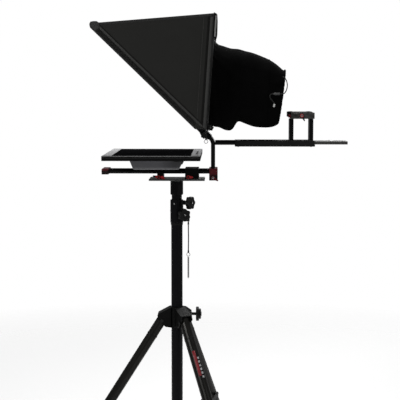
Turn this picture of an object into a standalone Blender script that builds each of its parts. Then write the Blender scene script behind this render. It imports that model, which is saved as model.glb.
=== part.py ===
"""Camera teleprompter on a folding tripod stand.

Metres, +Z up. The origin is on the floor at the middle of the footprint. +X is the camera's
side, -X the presenter's side. Every x below is counted from the axis of the stand's column,
which the column_axis empty holds at STAND_X. "near" is the -Y side and "far" the +Y side.
"""

import math

import bmesh
import bpy
from mathutils import Matrix, Vector

GAP = 0.0003                        # between neighbours that touch
X_AXIS = Vector((1, 0, 0))
Y_AXIS = Vector((0, 1, 0))
Z_AXIS = Vector((0, 0, 1))

# Tripod
LEG_ANGLE = math.radians(32.3)      # open leg, from the vertical
LEG_AZIMUTHS = (182.5, -57.5, 62.5)     # degrees; the tripod stands slightly turned
LEG_RADIUS = 0.019
LEG_WALL = 0.0016
LEG_TOP = 0.010                     # tube above its pivot
PIVOT_REACH = 0.0565                # leg pivot from the column's axis
PIVOT_HEIGHT = 0.631
FOOT_RADIUS = 0.023
FOOT_FLOOR = 0.0076                 # rubber under the tube's lowest edge
STRUT_PIVOT_REACH = 0.027
STRUT_PIVOT_HEIGHT = 0.140
STRUT_ON_LEG = 0.420                # leg pivot to where the strut meets the leg
STRUT_GAP = 0.0205                  # half the space between a strut's two bars
STRUT_BAR = 0.003
STRUT_HALF_WIDTH = 0.010

# Column and mast
COLUMN_RADIUS = 0.021
COLUMN_BORE = 0.0191
COLUMN_BOTTOM = 0.118
COLUMN_TOP = 1.070
COLLAR_RADIUS = 0.024
COLLAR_BOTTOM = 0.996
COLLAR_TOP = 1.0815
MAST_RADIUS = 0.0188
MAST_WALL = 0.0016
MAST_BOTTOM = 0.500
MAST_TOP = 1.150
ADAPTER_RADIUS = 0.0235
ADAPTER_BOTTOM = 1.100
ADAPTER_TOP = 1.155

# Rods and clamps
ROD_RADIUS = 0.0075
ROD_BORE = 0.0078
ROD_SPREAD = 0.030                  # half the distance between a pair of rods
LOWER_ROD_HEIGHT = 1.1877
UPPER_ROD_HEIGHT = 1.2932
POST_X = 0.134
CLAMP_HALF_DEPTH = 0.0425
BASE_PLATE = (-0.100, 0.104, 0.055)     # left, right and half depth
PLATE_TOP = 1.1613
PLATE_THICKNESS = 0.006

# Camera rail
RAIL_LEFT = 0.214
RAIL_RIGHT = 0.503
RAIL_BOTTOM = 1.280
RAIL_TOP = 1.302
RAIL_FLOOR = 1.2875
BAR_REACH = 0.624                   # free end of the slide bar
BAR_LEFT = 0.353
BAR_TOP = 1.299
PLATFORM_BOTTOM = 1.381
PLATFORM_TOP = 1.4035

# Monitor, screen up
MONITOR_LEFT = -0.255
MONITOR_RIGHT = 0.091
MONITOR_HALF_DEPTH = 0.215
MONITOR_BOTTOM = 1.239
MONITOR_TOP = 1.2564
SCREEN_LEFT = -0.222
SCREEN_RIGHT = 0.058
SCREEN_HALF_DEPTH = 0.190
SCREEN_RECESS = 0.003
BEZEL_FLOOR = 0.004

# Hood, hinged on the tilt axis
TILT_X = 0.104
TILT_Z = 1.330
TILT_AXLE_RADIUS = 0.006
HOOD_HALF_WIDTH = 0.225
HOOD_WALL = 0.002
HOOD_FRONT_TOP = (-0.291, 1.722)
HOOD_BACK_TOP = (0.132, 1.752)
HOOD_BACK_BOTTOM = (0.1104, 1.345)
HOOD_FRONT_BOTTOM = (0.0832, 1.345)
GLASS_THICKNESS = 0.003

FOOT_REACH = PIVOT_REACH + PIVOT_HEIGHT * math.tan(LEG_ANGLE) + FOOT_RADIUS / math.cos(LEG_ANGLE)
STAND_X = (FOOT_REACH - BAR_REACH) / 2

BLACK_METAL = ((0.012, 0.012, 0.013), 0.42, 0.7)
BLACK_PAINT = ((0.018, 0.018, 0.018), 0.50, 0.0)
BLACK_PLASTIC = ((0.020, 0.020, 0.021), 0.45, 0.0)
GREY_METAL = ((0.24, 0.24, 0.22), 0.38, 0.8)
RED_METAL = ((0.30, 0.012, 0.014), 0.35, 0.6)
STEEL = ((0.60, 0.60, 0.60), 0.25, 1.0)
RUBBER = ((0.015, 0.015, 0.015), 0.85, 0.0)
GREY_PLASTIC = ((0.075, 0.075, 0.080), 0.50, 0.0)
SILVER_PLASTIC = ((0.42, 0.42, 0.42), 0.40, 0.0)
SCREEN = ((0.012, 0.012, 0.014), 0.12, 0.0)
GLASS = ((0.55, 0.60, 0.60), 0.03, 0.0)
HOOD_CLOTH = ((0.022, 0.022, 0.020), 0.80, 0.0)
BLACK_CLOTH = ((0.006, 0.006, 0.006), 0.90, 0.0)
CORD = ((0.012, 0.012, 0.012), 0.80, 0.0)


# ---------------------------------------------------------------- tools

def clear_scene():
    for obj in list(bpy.data.objects):
        bpy.data.objects.remove(obj)


def make_collection(name):
    collection = bpy.data.collections.new(name)
    bpy.context.scene.collection.children.link(collection)
    return collection


clear_scene()
PARTS = make_collection("teleprompter")
CUTTERS = make_collection("cutters")


def make_empty(name, location, azimuth=0.0, parent=None):
    """An empty on a joint's axis, turned about Z by azimuth."""
    empty = bpy.data.objects.new(name, None)
    PARTS.objects.link(empty)
    empty.parent = parent
    empty.location = location
    empty.rotation_euler.z = azimuth
    return empty


COLUMN_AXIS = make_empty("column_axis", (STAND_X, 0, 0))


def place(obj, origin, rotation=None, parent=COLUMN_AXIS):
    obj.parent = parent
    matrix = rotation.to_4x4() if rotation else Matrix.Identity(4)
    obj.matrix_local = Matrix.Translation(origin) @ matrix
    return obj


def mesh_object(name, bm):
    mesh = bpy.data.meshes.new(name)
    bm.to_mesh(mesh)
    bm.free()
    obj = bpy.data.objects.new(name, mesh)
    PARTS.objects.link(obj)
    return obj


def finish(obj, look, smooth=True):
    """Give the object a material of its own and shade it."""
    colour, roughness, metallic = look
    material = bpy.data.materials.new(obj.name + "_finish")
    material.use_nodes = True
    shader = material.node_tree.nodes["Principled BSDF"]
    shader.inputs["Base Color"].default_value = (*colour, 1)
    shader.inputs["Roughness"].default_value = roughness
    shader.inputs["Metallic"].default_value = metallic
    obj.data.materials.append(material)
    if smooth and obj.type == "MESH":
        obj.data.shade_smooth()
        obj.data.set_sharp_from_angle(angle=math.radians(35))
    return obj


def as_tool(obj):
    """Keep a shape that only cuts or joins another out of the parts."""
    PARTS.objects.unlink(obj)
    CUTTERS.objects.link(obj)
    obj.hide_render = True
    obj.display_type = "WIRE"
    return obj


def boolean(obj, tool, operation):
    modifier = obj.modifiers.new(operation.lower(), "BOOLEAN")
    modifier.operation = operation
    modifier.solver = "EXACT"
    modifier.object = as_tool(tool)


def cut(obj, *tools):
    for tool in tools:
        boolean(obj, tool, "DIFFERENCE")
    return obj


def join(obj, *tools):
    for tool in tools:
        boolean(obj, tool, "UNION")
    return obj


def bevel(obj, width, segments=2):
    modifier = obj.modifiers.new("edges", "BEVEL")
    modifier.width = width
    modifier.segments = segments
    modifier.limit_method = "ANGLE"
    return obj


def solidify(obj, thickness):
    """Thicken an open surface inwards."""
    modifier = obj.modifiers.new("wall", "SOLIDIFY")
    modifier.thickness = thickness
    modifier.offset = -1
    return obj


def aim(direction):
    """The rotation that takes local Z to the direction."""
    return Vector(direction).to_track_quat("Z", "Y").to_matrix()


def box(name, low, high, parent=COLUMN_AXIS):
    """A box between two corners, with its origin at its middle."""
    low = Vector(low)
    high = Vector(high)
    bm = bmesh.new()
    bmesh.ops.create_cube(bm, size=1)
    bmesh.ops.scale(bm, vec=high - low, verts=bm.verts)
    return place(mesh_object(name, bm), (low + high) / 2, parent=parent)


def cylinder(name, start, end, radius, sides=16, parent=COLUMN_AXIS):
    """A round bar from start, where its origin is, to end."""
    start = Vector(start)
    along = Vector(end) - start
    bm = bmesh.new()
    bmesh.ops.create_cone(bm, cap_ends=True, segments=sides, radius1=radius, radius2=radius,
                          depth=along.length)
    bmesh.ops.translate(bm, vec=(0, 0, along.length / 2), verts=bm.verts)
    return place(mesh_object(name, bm), start, aim(along), parent)


def turned(name, profile, sides, origin=(0, 0, 0), rotation=None, parent=COLUMN_AXIS):
    """Turn (radius, height) points, listed down the outer side, about the local Z axis.

    A profile whose two ends are off the axis is closed into a ring.
    """
    bm = bmesh.new()
    verts = [bm.verts.new((radius, 0, height)) for radius, height in profile]
    for first, second in zip(verts, verts[1:]):
        bm.edges.new((first, second))
    if profile[0][0] > 0:
        bm.edges.new((verts[-1], verts[0]))
    obj = mesh_object(name, bm)
    screw = obj.modifiers.new("turn", "SCREW")
    screw.steps = sides
    screw.render_steps = sides
    screw.use_merge_vertices = True
    screw.merge_threshold = 0.00001
    return place(obj, origin, rotation, parent)


def ring(name, outer, inner, bottom, top, sides, parent=COLUMN_AXIS):
    """An open-ended tube on the local Z axis."""
    profile = [(outer, top), (outer, bottom), (inner, bottom), (inner, top)]
    return turned(name, profile, sides, parent=parent)


def mesh_from_curve(obj):
    """Replace a curve object with a welded mesh object in the same place."""
    bpy.context.view_layer.update()
    evaluated = obj.evaluated_get(bpy.context.evaluated_depsgraph_get())
    mesh = bpy.data.meshes.new_from_object(evaluated)
    bm = bmesh.new()
    bm.from_mesh(mesh)
    bmesh.ops.remove_doubles(bm, verts=bm.verts, dist=0.000001)
    bmesh.ops.recalc_face_normals(bm, faces=bm.faces)
    welded = mesh_object(obj.name + "_mesh", bm)
    welded.matrix_world = obj.matrix_world
    name = obj.name
    bpy.data.objects.remove(obj)
    bpy.data.meshes.remove(mesh)
    welded.name = name
    return welded


def outline(name, points, thickness, origin, across, up, parent=COLUMN_AXIS):
    """A flat outline in the plane of across and up, thickened evenly to both sides."""
    curve = bpy.data.curves.new(name, "CURVE")
    curve.dimensions = "2D"
    curve.fill_mode = "BOTH"
    curve.extrude = thickness / 2
    spline = curve.splines.new("POLY")
    spline.points.add(len(points) - 1)
    for point, (u, v) in zip(spline.points, points):
        point.co = (u, v, 0, 1)
    spline.use_cyclic_u = True
    flat = bpy.data.objects.new(name, curve)
    PARTS.objects.link(flat)
    obj = mesh_from_curve(flat)
    across = Vector(across)
    up = Vector(up)
    rotation = Matrix((across, up, across.cross(up))).transposed()
    return place(obj, origin, rotation, parent)


def bent_tube(name, points, radius, resolution, parent=COLUMN_AXIS):
    """A round tube with filled caps along the points."""
    curve = bpy.data.curves.new(name, "CURVE")
    curve.dimensions = "3D"
    curve.bevel_depth = radius
    curve.bevel_resolution = resolution
    curve.use_fill_caps = True
    spline = curve.splines.new("POLY")
    spline.points.add(len(points) - 1)
    for point, where in zip(spline.points, points):
        point.co = (*where, 1)
    obj = bpy.data.objects.new(name, curve)
    PARTS.objects.link(obj)
    return place(obj, (0, 0, 0), parent=parent)


def arc(centre, radius, start, end, steps):
    """Points on an arc, from the start angle to the end angle, in degrees."""
    points = []
    for step in range(steps + 1):
        angle = math.radians(start + (end - start) * step / steps)
        points.append((centre[0] + radius * math.cos(angle), centre[1] + radius * math.sin(angle)))
    return points


def smooth_route(points, spacing):
    """A Catmull-Rom curve through the points, read about every spacing."""
    knots = [Vector(point) for point in points]
    knots = [2 * knots[0] - knots[1]] + knots + [2 * knots[-1] - knots[-2]]
    route = [knots[1]]
    for before, start, end, after in zip(knots, knots[1:], knots[2:], knots[3:]):
        steps = max(1, round((end - start).length / spacing))
        for step in range(1, steps + 1):
            t = step / steps
            route.append(0.5 * (2 * start + (end - before) * t
                                + (2 * before - 5 * start + 4 * end - after) * t ** 2
                                + (3 * start - before - 3 * end + after) * t ** 3))
    return route


def star_points(radius, lobes, depth, phase, per_lobe=7):
    """The outline of a lobed hand knob."""
    points = []
    count = lobes * per_lobe
    for step in range(count):
        angle = 2 * math.pi * step / count
        reach = radius - depth * (0.5 - 0.5 * math.cos(lobes * (angle - phase)))
        points.append((reach * math.cos(angle), reach * math.sin(angle)))
    return points


def star_knob(name, centre, axis, radius, thickness, lobes, depth, phase, stem_radius, stem):
    """A lobed knob on its turning axis, with a stem that points back along the axis."""
    axis = Vector(axis).normalized()
    across = Z_AXIS.cross(axis)
    knob = outline(name, star_points(radius, lobes, depth, phase), thickness, centre, across, Z_AXIS)
    bevel(knob, thickness * 0.18, 1)
    shaft = cylinder(name + "_stem", centre, Vector(centre) - axis * stem, stem_radius, 12)
    return finish(join(knob, shaft), BLACK_PLASTIC)


def cam_lever(name, pivot, hub_radius, tail, tail_width, thickness, look):
    """A flat lever that turns about Y: a round hub with a tapered tail.

    tail is the tip's place from the pivot, as (x, z).
    """
    reach = math.hypot(*tail)
    heading = math.degrees(math.atan2(tail[1], tail[0]))
    shoulder = 50                       # degrees of the hub that the tail takes on either side
    points = arc((0, 0), hub_radius, heading + shoulder, heading + 360 - shoulder, 12)
    side = Vector((-tail[1], tail[0])) / reach * tail_width / 2
    tip = Vector(tail)
    for point in (tip - side, tip + side):
        points.append(tuple(point))
    lever = outline(name, points, thickness, pivot, X_AXIS, Z_AXIS)
    return finish(bevel(lever, thickness * 0.12, 1), look)


def rod_tools(name, left, right, height):
    """Two round bars that cut the bores for a pair of rods along X."""
    return [cylinder(f"{name}_{side}", (left, y, height), (right, y, height), ROD_BORE)
            for side, y in (("near", -ROD_SPREAD), ("far", ROD_SPREAD))]


# ---------------------------------------------------------------- stand

def make_column():
    ring_tube = ring("column_tube", COLUMN_RADIUS, COLUMN_BORE, COLUMN_BOTTOM, COLUMN_TOP, 24)
    finish(ring_tube, BLACK_METAL)


KNOB_REACH = 0.058
KNOB_THICKNESS = 0.015
KNOB_LOBES = 6
KNOB_LOBE_DEPTH = 0.0045
KNOB_STEM_RADIUS = 0.0055
UPPER_KNOB = (math.radians(-30), 1.072)
LOWER_KNOB = (math.radians(-60), 1.030)
BOSS_END = 0.036
BOSS_RADIUS = 0.0085
LANYARD_AZIMUTH = math.radians(-18)     # clear of the hub's boss and arms as the legs fold
LANYARD_REACH = 0.0452
EYE_BOTTOM = 1.002
EYE_TOP = 1.012
EYE_HALF_WIDTH = 0.003
EYE_END = LANYARD_REACH + 0.004


def knob_axis(angle):
    return Vector((math.cos(angle), math.sin(angle), 0))


LANYARD_AXIS = make_empty("lanyard_axis", (0, 0, 0), LANYARD_AZIMUTH, COLUMN_AXIS)


def make_lock_collar():
    bore = COLUMN_RADIUS + GAP
    lip = MAST_RADIUS + 2 * GAP
    step = COLUMN_TOP + GAP
    chamfer = 0.0012
    profile = [(COLLAR_RADIUS - chamfer, COLLAR_TOP), (COLLAR_RADIUS, COLLAR_TOP - chamfer),
               (COLLAR_RADIUS, COLLAR_BOTTOM + chamfer), (COLLAR_RADIUS - chamfer, COLLAR_BOTTOM),
               (bore, COLLAR_BOTTOM), (bore, step), (lip, step), (lip, COLLAR_TOP)]
    collar = turned("lock_collar", profile, 24)
    boss_start = COLUMN_RADIUS + 0.0009
    for number, (angle, height) in enumerate((UPPER_KNOB, LOWER_KNOB)):
        axis = knob_axis(angle)
        level = Vector((0, 0, height))
        boss = cylinder(f"collar_boss_{number}", level + axis * boss_start, level + axis * BOSS_END,
                        BOSS_RADIUS, 14)
        join(collar, boss)
    eye = box("lanyard_eye", (boss_start, -EYE_HALF_WIDTH, EYE_BOTTOM),
              (EYE_END, EYE_HALF_WIDTH, EYE_TOP), LANYARD_AXIS)
    finish(join(collar, eye), BLACK_METAL)


def make_lock_knobs():
    for name, (angle, height), radius, phase in (
            ("upper_star_knob", UPPER_KNOB, 0.0250, 0.0),
            ("lower_star_knob", LOWER_KNOB, 0.0240, math.radians(30))):
        axis = knob_axis(angle)
        centre = axis * KNOB_REACH + Vector((0, 0, height))
        star_knob(name, centre, axis, radius, KNOB_THICKNESS, KNOB_LOBES, KNOB_LOBE_DEPTH, phase,
                  KNOB_STEM_RADIUS, KNOB_REACH - BOSS_END - GAP)


def make_mast():
    mast = ring("inner_mast", MAST_RADIUS, MAST_RADIUS - MAST_WALL, MAST_BOTTOM, MAST_TOP, 24)
    finish(mast, BLACK_METAL)


def make_spreader_collar():
    half_height = 0.014
    lug_half_height = 0.009
    collar_radius = 0.0265
    collar = ring("spreader_collar", collar_radius, COLUMN_RADIUS + GAP,
                  STRUT_PIVOT_HEIGHT - half_height, STRUT_PIVOT_HEIGHT + half_height, 24)
    lug_root = collar_radius - 0.004
    lug_reach = 0.0325                  # the folded feet pass outside it
    lug_half_width = STRUT_GAP - GAP
    for number, azimuth in enumerate(LEG_AZIMUTHS):
        turn = make_empty(f"lug_axis_{number + 1}", (0, 0, 0), math.radians(azimuth), COLUMN_AXIS)
        lug = box(f"spreader_lug_{number + 1}",
                  (lug_root, -lug_half_width, STRUT_PIVOT_HEIGHT - lug_half_height),
                  (lug_reach, lug_half_width, STRUT_PIVOT_HEIGHT + lug_half_height), turn)
        join(collar, lug)
    finish(collar, BLACK_PLASTIC)


HUB_BOTTOM = 0.604
HUB_TOP = 0.681
HUB_RADIUS = 0.0285
HUB_CHEEK = 0.0235                  # half the width of an arm
PIN_RADIUS = 0.004
HUB_KNOB_HEIGHT = 0.653
HUB_BOSS_END = 0.053
HUB_BOSS_RADIUS = 0.008
HUB_KNOB_END = 0.0897
HUB_KNOB_RADIUS = 0.0265


def make_leg_hub(pivots):
    chamfer = 0.003
    profile = [(HUB_RADIUS - chamfer, HUB_TOP), (HUB_RADIUS, HUB_TOP - chamfer),
               (HUB_RADIUS, HUB_BOTTOM), (COLUMN_RADIUS + GAP, HUB_BOTTOM),
               (COLUMN_RADIUS + GAP, HUB_TOP)]
    hub = turned("leg_hub", profile, 24)
    overlap = 0.006                     # how far arms and boss reach into the hub's ring
    root = HUB_RADIUS - overlap - PIVOT_REACH
    arm = [(root, 0.0485), (-0.0305, 0.0485), (0.0125, 0.026), (0.0175, 0.009), (-0.0135, -0.023),
           (root, -0.026)]
    slot_top = 0.0225
    slot = [(-slot_top, -0.080)] + arc((0, 0), slot_top, 180, 90, 5) + [(0.060, slot_top),
                                                                        (0.060, -0.080)]
    slot_width = 2 * (LEG_RADIUS + 2 * GAP)
    for number, pivot in enumerate(pivots, 1):
        join(hub, outline(f"hub_arm_{number}", arm, 2 * HUB_CHEEK, (0, 0, 0), X_AXIS, Z_AXIS, pivot))
    join(hub, cylinder("hub_boss", (HUB_RADIUS - overlap, 0, HUB_KNOB_HEIGHT),
                       (HUB_BOSS_END, 0, HUB_KNOB_HEIGHT), HUB_BOSS_RADIUS, 14))
    for number, pivot in enumerate(pivots, 1):
        cut(hub, outline(f"hub_slot_{number}", slot, slot_width, (0, 0, 0), X_AXIS, Z_AXIS, pivot),
            cylinder(f"hub_bore_{number}", (0, -0.040, 0), (0, 0.040, 0), PIN_RADIUS + GAP, 12, pivot))
    finish(hub, BLACK_PLASTIC)


def make_hub_knob():
    """A stepped round knob along X, with its origin where the stem starts."""
    start = HUB_BOSS_END + GAP
    length = HUB_KNOB_END - start
    rim = length - 0.0187
    step = length - 0.0080
    step_radius = 0.0195
    chamfer = 0.0012
    profile = [(0, length), (step_radius - 2 * chamfer, length), (step_radius, length - 2 * chamfer),
               (step_radius, step), (HUB_KNOB_RADIUS - chamfer, step),
               (HUB_KNOB_RADIUS, step - chamfer), (HUB_KNOB_RADIUS, rim + chamfer),
               (HUB_KNOB_RADIUS - chamfer, rim), (KNOB_STEM_RADIUS, rim), (KNOB_STEM_RADIUS, 0),
               (0, 0)]
    knob = turned("hub_knob", profile, 20, (start, 0, HUB_KNOB_HEIGHT), aim(X_AXIS))
    finish(knob, BLACK_PLASTIC)


def make_leg_pin(number, pivot):
    half = HUB_CHEEK + GAP
    head = 0.0065
    head_thickness = 0.0022
    end = half + head_thickness
    profile = [(0, end), (head, end), (head, half), (PIN_RADIUS, half), (PIN_RADIUS, -half),
               (head, -half), (head, -end), (0, -end)]
    pin = turned(f"leg_pin_{number}", profile, 12, rotation=aim(Y_AXIS), parent=pivot)
    finish(pin, STEEL)


def make_leg(number, pivot):
    """A leg tube and its rubber foot. Local -Z runs down the leg from its pivot."""
    foot_grip = 0.060                   # how far the foot's socket reaches up the tube
    foot_length = 0.110
    chamfer = 0.001
    tilt = Matrix.Rotation(-LEG_ANGLE, 3, "Y")
    tube_end = (PIVOT_HEIGHT - FOOT_FLOOR - LEG_RADIUS * math.sin(LEG_ANGLE)) / math.cos(LEG_ANGLE)
    inner = LEG_RADIUS - LEG_WALL
    profile = [(LEG_RADIUS, LEG_TOP), (LEG_RADIUS, -tube_end), (inner, -tube_end), (inner, LEG_TOP)]
    leg = turned(f"leg_{number}", profile, 20, rotation=tilt, parent=pivot)
    cut(leg, cylinder(f"leg_bore_{number}", (0, -0.040, 0), (0, 0.040, 0), PIN_RADIUS + GAP, 12,
                      pivot))
    finish(leg, BLACK_METAL)

    foot_top = foot_grip - tube_end
    foot_end = foot_top - foot_length
    socket_end = -(tube_end + GAP)
    profile = [(0, foot_top), (FOOT_RADIUS - chamfer, foot_top), (FOOT_RADIUS, foot_top - chamfer),
               (FOOT_RADIUS, foot_end), (0, foot_end)]
    foot = turned(f"foot_{number}", profile, 16, rotation=tilt, parent=pivot)
    socket_tool = cylinder(f"foot_socket_{number}", tilt @ Vector((0, 0, socket_end)),
                           (0, 0, 0), LEG_RADIUS + GAP, 20, pivot)
    floor = box(f"floor_{number}", (0, -0.2, -PIVOT_HEIGHT - 0.2), (1, 0.2, -PIVOT_HEIGHT), pivot)
    finish(cut(foot, socket_tool, floor), RUBBER)


def strut_line():
    """The strut's length and its angle above the horizontal when the legs are open."""
    out = PIVOT_REACH + STRUT_ON_LEG * math.sin(LEG_ANGLE) - STRUT_PIVOT_REACH
    rise = PIVOT_HEIGHT - STRUT_ON_LEG * math.cos(LEG_ANGLE) - STRUT_PIVOT_HEIGHT
    return math.hypot(out, rise), math.atan2(rise, out)


def make_strut(number, azimuth):
    """Two bars that straddle the collar's lug and the leg, joined by a web near the collar."""
    length, angle = strut_line()
    hinge = make_empty(f"strut_pivot_{number}", (0, 0, 0), azimuth, COLUMN_AXIS)
    across = Vector((math.cos(angle), 0, math.sin(angle)))
    up = Vector((-math.sin(angle), 0, math.cos(angle)))
    origin = (STRUT_PIVOT_REACH, 0, STRUT_PIVOT_HEIGHT)
    bar = arc((0, 0), STRUT_HALF_WIDTH, 90, 270, 6) + arc((length, 0), STRUT_HALF_WIDTH, -90, 90, 6)
    strut = outline(f"strut_{number}", bar, 2 * (STRUT_GAP + STRUT_BAR), origin, across, up, hinge)
    web_low, web_high = 0.005, 0.008
    web_start, web_end = 0.040, 0.075
    margin = 0.040
    web = [(web_start, web_low), (web_end, web_low), (web_end, web_high), (web_start, web_high)]
    inside = [(-margin, -margin), (length + margin, -margin), (length + margin, margin),
              (-margin, margin)]
    cut(strut, outline(f"strut_space_{number}", inside, 2 * STRUT_GAP, origin, across, up, hinge))
    join(strut, outline(f"strut_web_{number}", web, 2 * STRUT_GAP + STRUT_BAR, origin, across, up,
                        hinge))
    bore_radius = 0.003
    cut(strut, cylinder(f"strut_bore_{number}", Vector(origin) - Y_AXIS * margin,
                        Vector(origin) + Y_AXIS * margin, bore_radius, 10, hinge))
    finish(strut, BLACK_PAINT)


def make_tripod():
    pivots = []
    for number, degrees in enumerate(LEG_AZIMUTHS, 1):
        azimuth = math.radians(degrees)
        where = (PIVOT_REACH * math.cos(azimuth), PIVOT_REACH * math.sin(azimuth), PIVOT_HEIGHT)
        pivot = make_empty(f"leg_pivot_{number}", where, azimuth, COLUMN_AXIS)
        pivots.append(pivot)
        make_leg(number, pivot)
        make_leg_pin(number, pivot)
        make_strut(number, azimuth)
    make_leg_hub(pivots)
    make_hub_knob()


# ---------------------------------------------------------------- head: plate, clamps and rods

def make_adapter():
    socket = MAST_RADIUS + GAP
    ceiling = MAST_TOP + GAP
    chamfer = 0.0015
    profile = [(0, ADAPTER_TOP), (ADAPTER_RADIUS, ADAPTER_TOP),
               (ADAPTER_RADIUS, ADAPTER_BOTTOM + chamfer), (ADAPTER_RADIUS - chamfer, ADAPTER_BOTTOM),
               (socket, ADAPTER_BOTTOM), (socket, ceiling), (0, ceiling)]
    finish(turned("mast_adapter", profile, 24), BLACK_METAL)


def make_base_plate():
    left, right, half_depth = BASE_PLATE
    plate = box("base_plate", (left, -half_depth, PLATE_TOP - PLATE_THICKNESS),
                (right, half_depth, PLATE_TOP))
    finish(bevel(plate, 0.0008, 1), GREY_METAL)


FRONT_CLAMP = (-0.070, -0.048)
REAR_CLAMP = (0.032, 0.082)


def make_base_clamps():
    floor = PLATE_TOP + GAP
    for name, (left, right), top in (("front_rod_clamp", FRONT_CLAMP, LOWER_ROD_HEIGHT + GAP),
                                     ("rear_rod_clamp", REAR_CLAMP, 1.200)):
        clamp = box(name, (left, -CLAMP_HALF_DEPTH, floor), (right, CLAMP_HALF_DEPTH, top))
        bevel(clamp, 0.0007, 1)
        finish(cut(clamp, *rod_tools(name, left - 0.01, right + 0.01, LOWER_ROD_HEIGHT)),
               BLACK_METAL)


LEVER_THICKNESS = 0.008
LEVER_Y = -CLAMP_HALF_DEPTH - GAP - LEVER_THICKNESS / 2


def make_levers():
    """The three clamps' levers: pivot, hub radius, tail tip and tail width."""
    cam_lever("front_clamp_lever", (-0.064, LEVER_Y, 1.1690), 0.0058, (-0.0215, 0.0040), 0.0035,
              LEVER_THICKNESS, RED_METAL)
    cam_lever("rear_clamp_lever", (0.044, LEVER_Y, 1.1690), 0.0062, (0.0200, -0.0015), 0.0050,
              LEVER_THICKNESS, RED_METAL)
    cam_lever("corner_clamp_lever", (0.1340, LEVER_Y, 1.1665), 0.0072, (0.0190, -0.0110), 0.0035,
              LEVER_THICKNESS, BLACK_METAL)


CAP_LEFT = -0.2735
CAP_RIGHT = -0.248
CAP_BOTTOM = 1.1775
CAP_TOP = 1.1980
ROD_LEFT = CAP_LEFT + 0.0035
CORNER_LEFT = 0.120
CORNER_RIGHT = 0.151
CORNER_BOTTOM = 1.156
CORNER_TOP = 1.200
ROD_RIGHT = POST_X - ROD_RADIUS - 0.0007


def make_lower_rods():
    for side, y in (("near", -ROD_SPREAD), ("far", ROD_SPREAD)):
        rod = cylinder(f"lower_rod_{side}", (ROD_LEFT, y, LOWER_ROD_HEIGHT),
                       (ROD_RIGHT, y, LOWER_ROD_HEIGHT), ROD_RADIUS)
        finish(rod, BLACK_METAL)


def make_rod_end_cap():
    cap = box("rod_end_cap", (CAP_LEFT, -CLAMP_HALF_DEPTH, CAP_BOTTOM),
              (CAP_RIGHT, CLAMP_HALF_DEPTH, CAP_TOP))
    bevel(cap, 0.001, 1)
    tools = rod_tools("cap_bore", ROD_LEFT - GAP, CAP_RIGHT + 0.010, LOWER_ROD_HEIGHT)
    finish(cut(cap, *tools), RED_METAL)


def make_corner_clamp():
    clamp = box("corner_clamp", (CORNER_LEFT, -CLAMP_HALF_DEPTH, CORNER_BOTTOM),
                (CORNER_RIGHT, CLAMP_HALF_DEPTH, CORNER_TOP))
    bevel(clamp, 0.001, 1)
    cut(clamp, *rod_tools("corner_rod_bore", CORNER_LEFT - 0.010, POST_X, LOWER_ROD_HEIGHT))
    for side, y in (("near", -ROD_SPREAD), ("far", ROD_SPREAD)):
        cut(clamp, cylinder(f"corner_post_bore_{side}", (POST_X, y, CORNER_BOTTOM - 0.010),
                            (POST_X, y, CORNER_TOP + 0.010), ROD_BORE))
    finish(clamp, RED_METAL)


# ---------------------------------------------------------------- uprights and camera rail

SLOPE_UP = Vector((-math.sqrt(0.5), 0, math.sqrt(0.5)))     # up the glass, from the tilt axis
SLOPE_IN = Vector((math.sqrt(0.5), 0, math.sqrt(0.5)))      # square to the glass, into the hood
TILT_AXIS_POINT = Vector((TILT_X, 0, TILT_Z))
POST_BOTTOM = CORNER_BOTTOM + GAP
POST_END = 0.0085                   # post's top end, short of the tilt axis
BRACKET_LOW = -0.026
BRACKET_HIGH = 0.010
BRACKET_HALF = 0.010
BRACKET_HALF_WIDTH = 0.042
AXLE_HALF_LENGTH = 0.2275


def slope_point(up, into, y=0.0):
    return TILT_AXIS_POINT + SLOPE_UP * up + SLOPE_IN * into + Y_AXIS * y


def slope_box(name, low, high):
    """A box whose corners are (up the slope, into the hood, y) from the tilt axis."""
    width = high[0] - low[0]
    depth = high[1] - low[1]
    points = [(0, 0), (width, 0), (width, depth), (0, depth)]
    origin = slope_point(low[0], low[1], (low[2] + high[2]) / 2)
    return outline(name, points, high[2] - low[2], origin, SLOPE_UP, SLOPE_IN)


RAIL_HALF_WIDTH = 0.040
RAIL_INNER = 0.0365
RAIL_SOCKET = 0.018                 # depth of the upper rods' bores
RAIL_END_WALL = 0.022


def make_posts():
    """Two upright rods whose tops bend by 45 degrees towards the tilt axis."""
    bend_radius = 0.030
    corner = TILT_Z - (POST_X - TILT_X)
    tangent = bend_radius * math.tan(math.radians(22.5))
    bend = arc((POST_X - bend_radius, corner - tangent), bend_radius, 0, 45, 5)
    for side, y in (("near", -ROD_SPREAD), ("far", ROD_SPREAD)):
        points = [Vector((POST_X, y, POST_BOTTOM))]
        points += [Vector((x, y, z)) for x, z in bend]
        points.append(slope_point(-POST_END, 0, y))
        finish(bent_tube(f"post_{side}", points, ROD_RADIUS, 4), BLACK_METAL)


def make_tilt_bracket():
    """The block on the posts' tops and the axle that carries the hood's frame."""
    bracket = slope_box("tilt_bracket", (BRACKET_LOW, -BRACKET_HALF, -BRACKET_HALF_WIDTH),
                        (BRACKET_HIGH, BRACKET_HALF, BRACKET_HALF_WIDTH))
    axle = cylinder("tilt_axle", slope_point(0, 0, -AXLE_HALF_LENGTH),
                    slope_point(0, 0, AXLE_HALF_LENGTH), TILT_AXLE_RADIUS, 16)
    join(bracket, axle)
    for side, y in (("near", -ROD_SPREAD), ("far", ROD_SPREAD)):
        cut(bracket, cylinder(f"bracket_bore_{side}", slope_point(BRACKET_LOW - 0.020, 0, y),
                              slope_point(GAP - POST_END, 0, y), ROD_BORE + GAP, 16))
    finish(bracket, BLACK_METAL)


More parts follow.
